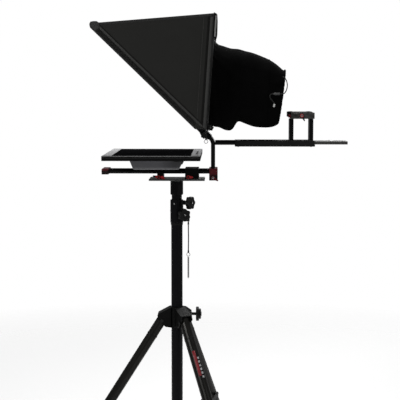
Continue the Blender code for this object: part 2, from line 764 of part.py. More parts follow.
def make_upper_rods():
    start = POST_X + ROD_RADIUS + GAP
    for side, y in (("near", -ROD_SPREAD), ("far", ROD_SPREAD)):
        rod = cylinder(f"upper_rod_{side}", (start, y, UPPER_ROD_HEIGHT),
                       (RAIL_LEFT + RAIL_SOCKET, y, UPPER_ROD_HEIGHT), ROD_RADIUS)
        finish(rod, BLACK_METAL)


def make_camera_rail():
    """A channel with a solid left end that holds the upper rods."""
    rail = box("camera_rail", (RAIL_LEFT, -RAIL_HALF_WIDTH, RAIL_BOTTOM),
               (RAIL_RIGHT, RAIL_HALF_WIDTH, RAIL_TOP))
    bevel(rail, 0.0008, 1)
    channel = box("rail_channel", (RAIL_LEFT + RAIL_END_WALL, -RAIL_INNER, RAIL_FLOOR),
                  (RAIL_RIGHT + 0.020, RAIL_INNER, RAIL_TOP + 0.020))
    bores = rod_tools("rail_bore", RAIL_LEFT - 0.010, RAIL_LEFT + RAIL_SOCKET + GAP,
                      UPPER_ROD_HEIGHT)
    finish(cut(rail, channel, *bores), BLACK_METAL)


RISER_HALF_WIDTH = 0.033
PLATFORM_HALF_WIDTH = 0.0375
RISER_LEGS = (("riser_front_leg", 0.413, 0.427), ("riser_rear_leg", 0.485, 0.499))
PLATFORM = (0.417, 0.503)
CAMERA_PLATE = (0.405, 0.495)
PLATE_SEAT = 1.3885
CAMERA_PLATE_TOP = 1.4065
TONGUE_LOW = 0.0250                 # half widths of the plate's dovetail
TONGUE_HIGH = 0.0210
SCREW_X = 0.452
SCREW_RADIUS = 0.0046
SCREW_HEAD = 0.0090
HEAD_TOP = 1.3925


def make_slide_bar():
    side = RAIL_INNER - GAP
    bar = box("slide_bar", (BAR_LEFT, -side, RAIL_FLOOR + GAP), (BAR_REACH, side, BAR_TOP))
    finish(bevel(bar, 0.0008, 1), GREY_METAL)


def make_riser():
    for name, left, right in RISER_LEGS:
        leg = box(name, (left, -RISER_HALF_WIDTH, BAR_TOP + GAP),
                  (right, RISER_HALF_WIDTH, PLATFORM_BOTTOM - GAP))
        finish(bevel(leg, 0.0010, 1), BLACK_METAL)


def dovetail(name, left, right, low, high, grow):
    """A bar along X, wider at its foot. grow adds to its half widths."""
    rise = CAMERA_PLATE_TOP - PLATE_SEAT
    slope = (TONGUE_LOW - TONGUE_HIGH) / rise
    bottom = TONGUE_LOW + grow - slope * (low - PLATE_SEAT)
    top = TONGUE_LOW + grow - slope * (high - PLATE_SEAT)
    points = [(-bottom, low), (bottom, low), (top, high), (-top, high)]
    return outline(name, points, right - left, ((left + right) / 2, 0, 0), Y_AXIS, Z_AXIS)


def make_camera_platform():
    left, right = PLATFORM
    platform = box("camera_platform", (left, -PLATFORM_HALF_WIDTH, PLATFORM_BOTTOM),
                   (right, PLATFORM_HALF_WIDTH, PLATFORM_TOP))
    bevel(platform, 0.0010, 1)
    groove = dovetail("platform_groove", left - 0.010, right + 0.010, PLATE_SEAT - GAP,
                      CAMERA_PLATE_TOP, GAP)
    finish(cut(platform, groove), BLACK_METAL)


def make_camera_plate():
    left, right = CAMERA_PLATE
    plate = dovetail("camera_plate", left, right, PLATE_SEAT, CAMERA_PLATE_TOP, 0)
    head = cylinder("screw_head_pocket", (SCREW_X, 0, PLATE_SEAT - 0.010),
                    (SCREW_X, 0, HEAD_TOP + GAP), SCREW_HEAD + GAP, 20)
    shaft = cylinder("screw_shaft_bore", (SCREW_X, 0, PLATE_SEAT - 0.010),
                     (SCREW_X, 0, CAMERA_PLATE_TOP + 0.010), SCREW_RADIUS + GAP, 16)
    finish(cut(plate, head, shaft), BLACK_METAL)


def make_camera_screw():
    base = PLATE_SEAT + GAP
    profile = [(0, CAMERA_PLATE_TOP - base), (SCREW_RADIUS, CAMERA_PLATE_TOP - base),
               (SCREW_RADIUS, HEAD_TOP - base), (SCREW_HEAD, HEAD_TOP - base), (SCREW_HEAD, 0),
               (0, 0)]
    finish(turned("camera_screw", profile, 16, (SCREW_X, 0, base)), STEEL)


def make_release_lever():
    thickness = 0.007
    y = -PLATFORM_HALF_WIDTH - GAP - thickness / 2
    cam_lever("release_lever", (0.4560, y, 1.3930), 0.0060, (0.0105, -0.0200), 0.0030, thickness,
              RED_METAL)


# ---------------------------------------------------------------- monitor

BACK_TOP = (-0.165, 0.026, 0.130)       # left, right and half depth of the rear housing
BACK_BOTTOM = (-0.152, 0.013, 0.115)
BACK_LOW = 1.2010
BACK_WALL = 0.0025
BACK_RIM = 0.0011                       # the sloping walls' inner edges rise this far at the rim
BUTTON_Y = -0.150
BUTTON_X = 0.0765
BUTTON_RADIUS = 0.005
BUTTON_FOOT = 1.2545
BUTTON_TOP = 1.2574
ROCKER_Y = -0.060
ROCKER_HALF_LENGTH = 0.022
ROCKER_HALF_WIDTH = 0.004


def make_monitor_bezel():
    bezel = box("monitor_bezel", (MONITOR_LEFT, -MONITOR_HALF_DEPTH, MONITOR_BOTTOM),
                (MONITOR_RIGHT, MONITOR_HALF_DEPTH, MONITOR_TOP))
    bevel(bezel, 0.0012, 1)
    opening = box("screen_opening", (SCREEN_LEFT, -SCREEN_HALF_DEPTH, MONITOR_BOTTOM + BEZEL_FLOOR),
                  (SCREEN_RIGHT, SCREEN_HALF_DEPTH, MONITOR_TOP + 0.010))
    pocket_floor = BUTTON_FOOT - 0.0020
    button = cylinder("button_pocket", (BUTTON_X, BUTTON_Y, pocket_floor),
                      (BUTTON_X, BUTTON_Y, MONITOR_TOP + 0.010), BUTTON_RADIUS + GAP, 16)
    rocker = box("rocker_pocket",
                 (BUTTON_X - ROCKER_HALF_WIDTH - GAP, ROCKER_Y - ROCKER_HALF_LENGTH - GAP,
                  pocket_floor),
                 (BUTTON_X + ROCKER_HALF_WIDTH + GAP, ROCKER_Y + ROCKER_HALF_LENGTH + GAP,
                  MONITOR_TOP + 0.010))
    finish(cut(bezel, opening, button, rocker), SILVER_PLASTIC)


def make_lcd_panel():
    panel = box("lcd_panel",
                (SCREEN_LEFT + GAP, -SCREEN_HALF_DEPTH + GAP, MONITOR_BOTTOM + BEZEL_FLOOR + GAP),
                (SCREEN_RIGHT - GAP, SCREEN_HALF_DEPTH - GAP, MONITOR_TOP - SCREEN_RECESS))
    finish(panel, SCREEN)


def make_monitor_back():
    """A tapered tub, open at the top where the bezel closes it."""
    bm = bmesh.new()
    bmesh.ops.create_cube(bm, size=1)
    for vert in bm.verts:
        left, right, half = BACK_TOP if vert.co.z > 0 else BACK_BOTTOM
        vert.co = (right if vert.co.x > 0 else left, half if vert.co.y > 0 else -half,
                   MONITOR_BOTTOM - GAP - BACK_RIM if vert.co.z > 0 else BACK_LOW)
    lid = [face for face in bm.faces if face.normal.z > 0.9]
    bmesh.ops.delete(bm, geom=lid, context="FACES_ONLY")
    back = place(mesh_object("monitor_back", bm), (0, 0, 0))
    finish(solidify(bevel(back, 0.004, 2), BACK_WALL), GREY_PLASTIC)


SADDLES = ((-0.130, -0.100), (-0.030, -0.005))


def make_monitor_bracket():
    """A plate under the monitor whose two saddles sit on the rods."""
    top = BACK_LOW - GAP
    deck_bottom = LOWER_ROD_HEIGHT + ROD_RADIUS + 2 * GAP
    left = SADDLES[0][0]
    right = SADDLES[1][1]
    bracket = box("monitor_bracket", (left, -CLAMP_HALF_DEPTH, deck_bottom),
                  (right, CLAMP_HALF_DEPTH, top))
    for number, (saddle_left, saddle_right) in enumerate(SADDLES):
        join(bracket, box(f"saddle_{number}",
                          (saddle_left, -CLAMP_HALF_DEPTH, LOWER_ROD_HEIGHT + 2 * GAP),
                          (saddle_right, CLAMP_HALF_DEPTH, top)))
    tools = rod_tools("saddle_bore", left - 0.010, right + 0.010, LOWER_ROD_HEIGHT)
    finish(cut(bracket, *tools), BLACK_METAL)


def make_monitor_controls():
    button = turned("power_button",
                    [(0, BUTTON_TOP), (BUTTON_RADIUS - 0.0005, BUTTON_TOP),
                     (BUTTON_RADIUS, BUTTON_TOP - 0.0005), (BUTTON_RADIUS, BUTTON_FOOT),
                     (0, BUTTON_FOOT)], 16, (BUTTON_X, BUTTON_Y, 0))
    finish(button, GREY_PLASTIC)
    rocker = box("menu_rocker",
                 (BUTTON_X - ROCKER_HALF_WIDTH, ROCKER_Y - ROCKER_HALF_LENGTH, BUTTON_FOOT),
                 (BUTTON_X + ROCKER_HALF_WIDTH, ROCKER_Y + ROCKER_HALF_LENGTH, BUTTON_TOP))
    finish(bevel(rocker, 0.0006, 1), GREY_PLASTIC)


# ---------------------------------------------------------------- glass, hood and shroud

FRAME_START = 0.0135
FRAME_END = 0.5430
FRAME_LOW = -0.004
FRAME_HIGH = 0.008
FRAME_HALF_WIDTH = 0.2205
FRAME_BAR = 0.020
GLASS_LIP = 0.004
GLASS_SEAT = 0.002
EAR = (0.207, 0.215)
EAR_RADIUS = 0.0105


def make_glass_frame():
    """A rectangular frame with a rebate for the glass and two ears on the axle."""
    inner_start = FRAME_START + FRAME_BAR
    inner_end = FRAME_END - FRAME_BAR
    inner_half = FRAME_HALF_WIDTH - FRAME_BAR
    frame = slope_box("glass_frame", (FRAME_START, FRAME_LOW, -FRAME_HALF_WIDTH),
                      (FRAME_END, FRAME_HIGH, FRAME_HALF_WIDTH))
    bevel(frame, 0.0008, 1)
    opening = slope_box("frame_opening", (inner_start, FRAME_LOW - 0.010, -inner_half),
                        (inner_end, FRAME_HIGH + 0.010, inner_half))
    rebate = slope_box("glass_rebate",
                       (inner_start - GLASS_LIP, GLASS_SEAT, -inner_half - GLASS_LIP),
                       (inner_end + GLASS_LIP, FRAME_HIGH + 0.010, inner_half + GLASS_LIP))
    cut(frame, opening, rebate)
    ear = arc((0, 0), EAR_RADIUS, 90, 270, 8) + [(FRAME_START + 0.006, -EAR_RADIUS * 0.38),
                                                (FRAME_START + 0.006, EAR_RADIUS * 0.7)]
    for side, sign in (("near", -1), ("far", 1)):
        middle = sign * sum(EAR) / 2
        join(frame, outline(f"frame_ear_{side}", ear, EAR[1] - EAR[0], slope_point(0, 0, middle),
                            SLOPE_UP, SLOPE_IN))
        cut(frame, cylinder(f"ear_bore_{side}", slope_point(0, 0, middle - 0.010),
                            slope_point(0, 0, middle + 0.010), TILT_AXLE_RADIUS + GAP, 16))
    finish(frame, BLACK_METAL)


def make_splitter_glass():
    inner_start = FRAME_START + FRAME_BAR - GLASS_LIP + GAP
    inner_end = FRAME_END - FRAME_BAR + GLASS_LIP - GAP
    half = FRAME_HALF_WIDTH - FRAME_BAR + GLASS_LIP - GAP
    seat = GLASS_SEAT + GAP
    glass = slope_box("splitter_glass", (inner_start, seat, -half),
                      (inner_end, seat + GLASS_THICKNESS, half))
    finish(glass, GLASS, smooth=False)


LENS_OPENING = (0.115, 1.385, 1.640)    # half width, bottom and top of the hole in the back


def make_hood():
    """A cloth wedge: two sides, a top and a back. It is open over the glass and at its foot."""
    corners = {(False, True): HOOD_FRONT_TOP, (True, True): HOOD_BACK_TOP,
               (True, False): HOOD_BACK_BOTTOM, (False, False): HOOD_FRONT_BOTTOM}
    bm = bmesh.new()
    bmesh.ops.create_cube(bm, size=1)
    open_faces = [face for face in bm.faces if face.normal.x < -0.9 or face.normal.z < -0.9]
    bmesh.ops.delete(bm, geom=open_faces, context="FACES")
    for vert in bm.verts:
        x, z = corners[(vert.co.x > 0, vert.co.z > 0)]
        vert.co = (x, HOOD_HALF_WIDTH if vert.co.y > 0 else -HOOD_HALF_WIDTH, z)
    hood = place(mesh_object("hood_shell", bm), (0, 0, 0))
    solidify(hood, HOOD_WALL)
    half, low, high = LENS_OPENING
    cut(hood, box("lens_opening", (TILT_X - 0.020, -half, low), (HOOD_BACK_TOP[0] + 0.050, half, high)))
    finish(hood, HOOD_CLOTH, smooth=False)


def hood_back(z):
    """The x of the hood's back at a height."""
    (low_x, low_z), (high_x, high_z) = HOOD_BACK_BOTTOM, HOOD_BACK_TOP
    return low_x + (high_x - low_x) * (z - low_z) / (high_z - low_z)


# Shroud sections: x and z of the bottom, x and z of the top, half width
SHROUD_SECTIONS = (
    (hood_back(1.362), 1.362, hood_back(1.668), 1.668, 0.152),
    (0.152, 1.346, 0.152, 1.654, 0.148),
    (0.190, 1.340, 0.200, 1.644, 0.138),
    (0.222, 1.369, 0.238, 1.635, 0.126),
    (0.272, 1.358, 0.282, 1.624, 0.114),
    (0.314, 1.348, 0.332, 1.604, 0.105),
    (0.369, 1.358, 0.393, 1.557, 0.092),
)
SHROUD_SIDES = 24
SHROUD_WALL = 0.003
SHROUD_STAND_OFF = 0.0026


def section_point(section, angle):
    """A point on a rounded, slightly tilted section of the shroud."""
    low_x, low_z, high_x, high_z, half_width = section
    squareness = 0.72
    side = math.copysign(abs(math.cos(angle)) ** squareness, math.cos(angle))
    rise = math.copysign(abs(math.sin(angle)) ** squareness, math.sin(angle))
    share = (rise + 1) / 2
    return Vector((low_x + (high_x - low_x) * share, -side * half_width,
                   low_z + (high_z - low_z) * share))


def make_lens_shroud():
    """A sleeve lofted through the sections, open at both ends."""
    bm = bmesh.new()
    rows = []
    for section in SHROUD_SECTIONS:
        row = []
        for step in range(SHROUD_SIDES):
            point = section_point(section, 2 * math.pi * step / SHROUD_SIDES)
            row.append(bm.verts.new(point + X_AXIS * SHROUD_STAND_OFF))
        rows.append(row)
    for row, following in zip(rows, rows[1:]):
        for step in range(SHROUD_SIDES):
            after = (step + 1) % SHROUD_SIDES
            bm.faces.new((row[step], row[after], following[after], following[step]))
    bmesh.ops.recalc_face_normals(bm, faces=bm.faces)
    shroud = place(mesh_object("lens_shroud", bm), (0, 0, 0))
    finish(solidify(shroud, SHROUD_WALL), BLACK_CLOTH)


def make_tilt_knobs():
    radius, thickness, lobes, lobe_depth = 0.0115, 0.012, 6, 0.0022
    reach = AXLE_HALF_LENGTH + GAP + thickness / 2
    for side, sign in (("near", -1), ("far", 1)):
        centre = slope_point(0, 0, sign * reach)
        points = star_points(radius, lobes, lobe_depth, math.radians(30))
        knob = outline(f"tilt_knob_{side}", points, thickness, centre, X_AXIS, Z_AXIS)
        finish(bevel(knob, 0.0018, 1), BLACK_PLASTIC)


# ---------------------------------------------------------------- cords

# Lanyard route: out from its own reach, sideways, and height
LANYARD_ROUTE = (
    (0.0000, 0.0000, 1.0017), (0.0000, 0.0000, 0.9940), (0.0001, -0.0001, 0.9840),
    (0.0003, -0.0003, 0.9740), (0.0005, -0.0005, 0.9640), (0.0007, -0.0006, 0.9540),
    (0.0008, -0.0006, 0.9440), (0.0008, -0.0006, 0.9340), (0.0006, -0.0005, 0.9240),
    (0.0004, -0.0003, 0.9140), (0.0002, -0.0002, 0.9060), (0.0001, -0.0001, 0.8980),
    (0.0000, 0.0000, 0.8920), (0.0000, 0.0000, 0.8868),
)
LANYARD_RADIUS = 0.0021
RING_HEIGHT = 0.8785
RING_RADIUS = 0.0063
SAFETY_PIN_TOP = 0.8724
SAFETY_PIN_BOTTOM = 0.7890


def make_lanyard():
    route = [(LANYARD_REACH + out, side, height) for out, side, height in LANYARD_ROUTE]
    tube = bent_tube("lanyard", smooth_route(route, 0.010), LANYARD_RADIUS, 2, LANYARD_AXIS)
    finish(tube, CORD)
    bpy.ops.mesh.primitive_torus_add(major_segments=18, minor_segments=6,
                                     major_radius=RING_RADIUS, minor_radius=0.0012)
    split_ring = bpy.context.object
    for collection in list(split_ring.users_collection):
        collection.objects.unlink(split_ring)
    PARTS.objects.link(split_ring)
    split_ring.name = "pin_ring"
    place(split_ring, (LANYARD_REACH, 0, RING_HEIGHT), aim(Y_AXIS), LANYARD_AXIS)
    height = SAFETY_PIN_TOP - SAFETY_PIN_BOTTOM
    radius = 0.003
    profile = [(0, height), (radius * 0.8, height), (radius, height - 0.002), (radius, 0.004),
               (radius * 0.4, 0), (0, 0)]
    pin = turned("safety_pin", profile, 12, (LANYARD_REACH, 0, SAFETY_PIN_BOTTOM),
                 parent=LANYARD_AXIS)
    finish(join(pin, split_ring), STEEL)


DRAWSTRING_RADIUS = 0.0018
DRAWSTRING_ROUTE = (
    (0.3840, -0.0940, 1.5330), (0.3875, -0.0985, 1.5310), (0.3920, -0.1030, 1.5260),
    (0.3958, -0.1060, 1.5185), (0.3980, -0.1080, 1.5095), (0.3985, -0.1090, 1.5005),
    (0.3972, -0.1095, 1.4915), (0.3945, -0.1098, 1.4835), (0.3910, -0.1100, 1.4775),
    (0.3870, -0.1100, 1.4735), (0.3820, -0.1100, 1.4722), (0.3750, -0.1100, 1.4720),
    (0.3650, -0.1100, 1.4720), (0.3540, -0.1100, 1.4720), (0.3440, -0.1100, 1.4718),
    (0.3385, -0.1100, 1.4690), (0.3365, -0.1100, 1.4635), (0.3385, -0.1100, 1.4575),
    (0.3430, -0.1098, 1.4510), (0.3480, -0.1096, 1.4450), (0.3525, -0.1094, 1.4390),
    (0.3535, -0.1092, 1.4320), (0.3510, -0.1090, 1.4255),
)
LOCK_LEFT = 0.3450
LOCK_RIGHT = 0.3720
LOCK_RADIUS = 0.0045


def make_drawstring():
    tube = bent_tube("drawstring", smooth_route(DRAWSTRING_ROUTE, 0.006), DRAWSTRING_RADIUS, 2)
    finish(tube, CORD)
    height = DRAWSTRING_ROUTE[12][2]
    y = DRAWSTRING_ROUTE[12][1]
    lock = cylinder("cord_lock", (LOCK_LEFT, y, height), (LOCK_RIGHT, y, height), LOCK_RADIUS, 12)
    bore = cylinder("lock_bore", (LOCK_LEFT - 0.01, y, height), (LOCK_RIGHT + 0.01, y, height),
                    DRAWSTRING_RADIUS + 2 * GAP, 10)
    finish(cut(lock, bore), BLACK_PLASTIC)


make_column()
make_lock_collar()
make_lock_knobs()
make_mast()
make_spreader_collar()
make_tripod()
make_adapter()
make_base_plate()
make_base_clamps()
make_levers()
make_lower_rods()
make_rod_end_cap()
make_corner_clamp()
make_posts()
make_tilt_bracket()
make_upper_rods()
make_camera_rail()
make_slide_bar()
make_riser()
make_camera_platform()
make_camera_plate()
make_camera_screw()
make_release_lever()
make_monitor_bezel()
make_lcd_panel()
make_monitor_back()
make_monitor_bracket()
make_monitor_controls()
make_glass_frame()
make_splitter_glass()
make_hood()
make_lens_shroud()
make_tilt_knobs()
make_lanyard()
make_drawstring()
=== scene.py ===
"""The looks of the teleprompter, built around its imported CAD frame.

Metres, +Z up. Every x in the constants below is counted from the axis of the stand's column, and
at() turns such a place into one in the frame. "near" is the -Y side and "far" the +Y side.
"""

import math

import bmesh
import bpy
from mathutils import Matrix, Vector, noise


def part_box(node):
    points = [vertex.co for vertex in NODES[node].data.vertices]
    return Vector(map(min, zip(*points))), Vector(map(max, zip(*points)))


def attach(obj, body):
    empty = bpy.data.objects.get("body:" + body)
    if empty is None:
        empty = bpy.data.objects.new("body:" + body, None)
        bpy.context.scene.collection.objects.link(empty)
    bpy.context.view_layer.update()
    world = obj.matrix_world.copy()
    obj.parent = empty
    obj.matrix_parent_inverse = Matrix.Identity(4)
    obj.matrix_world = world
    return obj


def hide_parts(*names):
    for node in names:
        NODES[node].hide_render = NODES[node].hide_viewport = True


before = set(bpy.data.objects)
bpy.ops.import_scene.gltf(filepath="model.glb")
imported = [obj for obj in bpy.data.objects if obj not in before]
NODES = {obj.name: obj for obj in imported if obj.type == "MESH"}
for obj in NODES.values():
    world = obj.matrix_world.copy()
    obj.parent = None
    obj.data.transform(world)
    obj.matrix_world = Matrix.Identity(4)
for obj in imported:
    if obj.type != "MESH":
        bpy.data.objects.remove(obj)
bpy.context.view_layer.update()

X_AXIS = Vector((1, 0, 0))
Y_AXIS = Vector((0, 1, 0))
Z_AXIS = Vector((0, 0, 1))


def middle(node):
    low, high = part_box(node)
    return (low + high) / 2


COLUMN_X = middle("column_tube").x


def at(x, y, z):
    """A place given from the column's axis, in the frame."""
    return Vector((COLUMN_X + x, y, z))


def extreme(node, direction):
    """The corner of a CAD node that lies farthest in a direction."""
    direction = Vector(direction)
    return max((v.co for v in NODES[node].data.vertices), key=lambda co: co.dot(direction)).copy()


# ---------------------------------------------------------------- camera, light and floor

CAMERA_PLACE = (0.162, -3.930, 1.507)
CAMERA_TURN = math.radians(1.11)
CAMERA_PITCH = math.radians(-5.13)
CAMERA_LENS = 96.2
CAMERA_SHIFT = -0.05


def make_camera():
    data = bpy.data.cameras.new("camera")
    data.lens = CAMERA_LENS
    data.sensor_width = 36
    data.shift_y = CAMERA_SHIFT
    camera = bpy.data.objects.new("camera", data)
    bpy.context.scene.collection.objects.link(camera)
    camera.matrix_world = (Matrix.Translation(at(*CAMERA_PLACE))
                           @ Matrix.Rotation(CAMERA_TURN, 4, "Z")
                           @ Matrix.Rotation(math.pi / 2 + CAMERA_PITCH, 4, "X"))
    bpy.context.scene.camera = camera


def make_softbox(name, place, size, power):
    """A square area light that looks at the middle of the object."""
    data = bpy.data.lights.new(name, "AREA")
    data.size = size
    data.energy = power
    light = bpy.data.objects.new(name, data)
    bpy.context.scene.collection.objects.link(light)
    light.location = place
    light.rotation_euler = (at(0, 0, 1.2) - Vector(place)).to_track_quat("-Z", "Y").to_euler()


def make_lights():
    make_softbox("key_light", (-2.4, -2.6, 3.2), 1.2, 75)
    make_softbox("fill_light", (2.8, -2.4, 2.2), 1.0, 22)
    make_softbox("top_light", (0.2, 0.8, 4.2), 2.4, 110)
    make_softbox("rim_light", (1.6, 2.8, 2.6), 1.4, 40)


def make_world():
    """White where it is seen and dimmer as a light, so that black parts stay black."""
    world = bpy.data.worlds.new("studio")
    bpy.context.scene.world = world
    world.use_nodes = True
    nodes = world.node_tree.nodes
    links = world.node_tree.links
    seen = nodes.new("ShaderNodeLightPath")
    strength = nodes.new("ShaderNodeMapRange")
    strength.inputs["To Min"].default_value = 0.20
    strength.inputs["To Max"].default_value = 1.0
    links.new(seen.outputs["Is Camera Ray"], strength.inputs["Value"])
    background = nodes["Background"]
    background.inputs["Color"].default_value = (1, 1, 1, 1)
    links.new(strength.outputs["Result"], background.inputs["Strength"])


FLOOR_FADE = 0.7
FLOOR_END = 3.4


def make_floor():
    """A pale round floor that fades into the white studio well beyond the feet."""
    bm = bmesh.new()
    bmesh.ops.create_circle(bm, cap_ends=True, segments=96, radius=FLOOR_END)
    mesh = bpy.data.meshes.new("floor")
    bm.to_mesh(mesh)
    bm.free()
    floor = bpy.data.objects.new("floor", mesh)
    bpy.context.scene.collection.objects.link(floor)
    floor.location.z = -0.0005
    look = Look("floor_paint", (0.93, 0.93, 0.93), 0.9)
    look.vary("Base Color", look.noise(1.5, 2), (0.92, 0.92, 0.92), (0.94, 0.94, 0.94))
    from_centre = look.node("VectorMath", {0: look.point()}, operation="LENGTH").outputs["Value"]
    fade = look.between(from_centre, FLOOR_FADE, FLOOR_END, 1, 0)
    look.tree.links.new(fade, look.shader.inputs["Alpha"])
    mesh.materials.append(look.material)


# ---------------------------------------------------------------- materials

class Look:
    """A Principled material, with short calls for the nodes that give it detail.

    The texture space is the frame's own, in metres, so a scale is in repeats per metre.
    """

    def __init__(self, name, colour, roughness, metallic=0.0, **constants):
        self.material = bpy.data.materials.new(name)
        self.material.use_nodes = True
        self.tree = self.material.node_tree
        self.shader = self.tree.nodes["Principled BSDF"]
        self.set("Base Color", (*colour, 1))
        self.set("Roughness", roughness)
        self.set("Metallic", metallic)
        for socket, value in constants.items():
            self.set(socket.replace("_", " "), value)
        self.height = None

    def set(self, socket, value):
        self.shader.inputs[socket].default_value = value

    def node(self, kind, inputs=None, **settings):
        made = self.tree.nodes.new("ShaderNode" + kind)
        for name, value in settings.items():
            setattr(made, name, value)
        for name, value in (inputs or {}).items():
            if isinstance(value, bpy.types.NodeSocket):
                self.tree.links.new(value, made.inputs[name])
            else:
                made.inputs[name].default_value = value
        return made

    def point(self, stretch=(1, 1, 1), turn=(0, 0, 0)):
        """The place on the object, turned and then stretched."""
        place = self.node("TexCoord").outputs["Object"]
        turned = self.node("Mapping", {"Vector": place, "Rotation": turn})
        return self.node("Mapping", {"Vector": turned.outputs["Vector"], "Scale": stretch}).outputs["Vector"]

    def normal(self):
        """The surface's direction in the object's own axes, one output each."""
        normal = self.node("TexCoord").outputs["Normal"]
        return self.node("SeparateXYZ", {"Vector": normal}).outputs

    def noise(self, scale, detail=3, stretch=(1, 1, 1), roughness=0.5):
        return self.node("TexNoise", {"Vector": self.point(stretch), "Scale": scale,
                                      "Detail": detail, "Roughness": roughness}).outputs["Fac"]

    def cells(self, scale):
        return self.node("TexVoronoi", {"Vector": self.point(), "Scale": scale}).outputs["Distance"]

    def math(self, operation, first, second=0.0, clamp=False):
        made = self.node("Math", operation=operation, use_clamp=clamp)
        for socket, value in zip(made.inputs, (first, second)):
            if isinstance(value, bpy.types.NodeSocket):
                self.tree.links.new(value, socket)
            else:
                socket.default_value = value
        return made.outputs[0]

    def between(self, value, low, high, start=0.0, end=1.0):
        """Value from low..high, mapped and clamped to start..end."""
        return self.node("MapRange", {"Value": value, "From Min": low, "From Max": high,
                                      "To Min": start, "To Max": end}).outputs["Result"]

    def blend(self, factor, first, second):
        """A colour between two, each a socket or three numbers."""
        mix = self.node("Mix", data_type="RGBA")
        self.tree.links.new(factor, mix.inputs["Factor"])
        for name, colour in (("A", first), ("B", second)):
            socket = next(s for s in mix.inputs if s.name == name and s.type == "RGBA")
            if isinstance(colour, bpy.types.NodeSocket):
                self.tree.links.new(colour, socket)
            else:
                socket.default_value = (*colour, 1)
        return next(s for s in mix.outputs if s.type == "RGBA")

    def vary(self, socket, factor, low, high):
        """Lead a factor into a shader input, as a colour or a number."""
        if socket == "Base Color":
            result = self.blend(factor, low, high)
        else:
            result = self.between(factor, 0, 1, low, high)
        self.tree.links.new(result, self.shader.inputs[socket])
        return result

    def relief(self, height, depth):
        """Add a height field, depth metres from its lowest to its highest."""
        bump = self.node("Bump", {"Height": height, "Distance": depth, "Strength": 1.0})
        if self.height is not None:
            self.tree.links.new(self.height, bump.inputs["Normal"])
        self.height = bump.outputs["Normal"]
        self.tree.links.new(self.height, self.shader.inputs["Normal"])

    def ribs(self, axis, pitch, sharpness=1.0):
        """Even ribs across an axis, from 0 to 1."""
        along = self.node("SeparateXYZ", {"Vector": self.point()}).outputs[axis]
        wave = self.math("SINE", self.math("MULTIPLY", along, 2 * math.pi / pitch))
        return self.math("POWER", self.between(wave, -1, 1), sharpness)

    def weave(self, pitch):
        """A plain weave on whichever plane the surface faces."""
        across = {axis: self.ribs(axis, pitch) for axis in "XYZ"}
        facing = self.normal()
        total = None
        for first, second, third in ("XYZ", "YZX", "ZXY"):
            cloth = self.math("MULTIPLY", across[first], across[second])
            share = self.math("ABSOLUTE", facing[third])
            part = self.math("MULTIPLY", cloth, share)
            total = part if total is None else self.math("ADD", total, part)
        return total


def scuffed(look, dark, light, rough_low, rough_high):
    """Clouded colour and roughness with fine scratches, as on handled paint or anodising."""
    clouds = look.noise(9, 4)
    scratches = look.between(look.noise(220, 2, (1, 1, 0.04), 0.7), 0.68, 0.76)
    wear_and_shade = look.math("ADD", look.math("MULTIPLY", clouds, 0.55), look.math("MULTIPLY", scratches, 0.35))
    look.vary("Base Color", wear_and_shade, dark, light)
    look.vary("Roughness", look.noise(26, 3), rough_low, rough_high)


def tube_paint():
    look = Look("tube_paint", (0.003, 0.003, 0.004), 0.42, Specular_IOR_Level=0.12)
    scuffed(look, (0.0010, 0.0010, 0.0018), (0.0040, 0.0040, 0.0052), 0.34, 0.48)
    look.relief(look.noise(1400, 2), 0.00005)
    return look.material


def leg_paint():
    """The legs' anodising is a little warmer and shinier than the column's paint."""
    look = Look("leg_paint", (0.013, 0.0125, 0.011), 0.34, 0.50, Specular_IOR_Level=0.30)
    scuffed(look, (0.0070, 0.0067, 0.0058), (0.0200, 0.0192, 0.0168), 0.27, 0.38)
    look.relief(look.noise(700, 2, (1, 1, 0.05)), 0.00004)
    return look.material


def anodised_black():
    look = Look("anodised_black", (0.004, 0.004, 0.004), 0.40, 0.2, Specular_IOR_Level=0.14)
    scuffed(look, (0.0014, 0.0014, 0.0015), (0.0055, 0.0055, 0.0057), 0.32, 0.48)
    look.relief(look.noise(900, 2, (0.06, 1, 1)), 0.00004)
    return look.material


def rail_black():
    """The camera rail's extrusion, with drawn lines along X."""
    look = Look("rail_black", (0.012, 0.012, 0.012), 0.46, 0.3, Specular_IOR_Level=0.25)
    scuffed(look, (0.0050, 0.0050, 0.0050), (0.0180, 0.0180, 0.0180), 0.36, 0.54)
    look.relief(look.noise(520, 3, (0.02, 1, 1)), 0.00008)
    return look.material


def cast_black():
    """The leg hub: grained glass-filled nylon with rubbed corners."""
    look = Look("cast_black", (0.003, 0.003, 0.003), 0.42, Specular_IOR_Level=0.11)
    scuffed(look, (0.0012, 0.0012, 0.0012), (0.0050, 0.0050, 0.0046), 0.34, 0.50)
    look.relief(look.cells(650), 0.00012)
    look.relief(look.noise(90, 3), 0.00020)
    return look.material


def moulded_black():
    look = Look("moulded_black", (0.004, 0.004, 0.004), 0.40, Specular_IOR_Level=0.20)
    scuffed(look, (0.0016, 0.0016, 0.0016), (0.0060, 0.0060, 0.0060), 0.32, 0.48)
    look.relief(look.cells(1100), 0.00008)
    return look.material


def painted_steel():
    look = Look("painted_steel", (0.009, 0.009, 0.009), 0.45, Specular_IOR_Level=0.28)
    scuffed(look, (0.0045, 0.0045, 0.0045), (0.0140, 0.0140, 0.0140), 0.36, 0.52)
    look.relief(look.noise(500, 3), 0.00007)
    return look.material


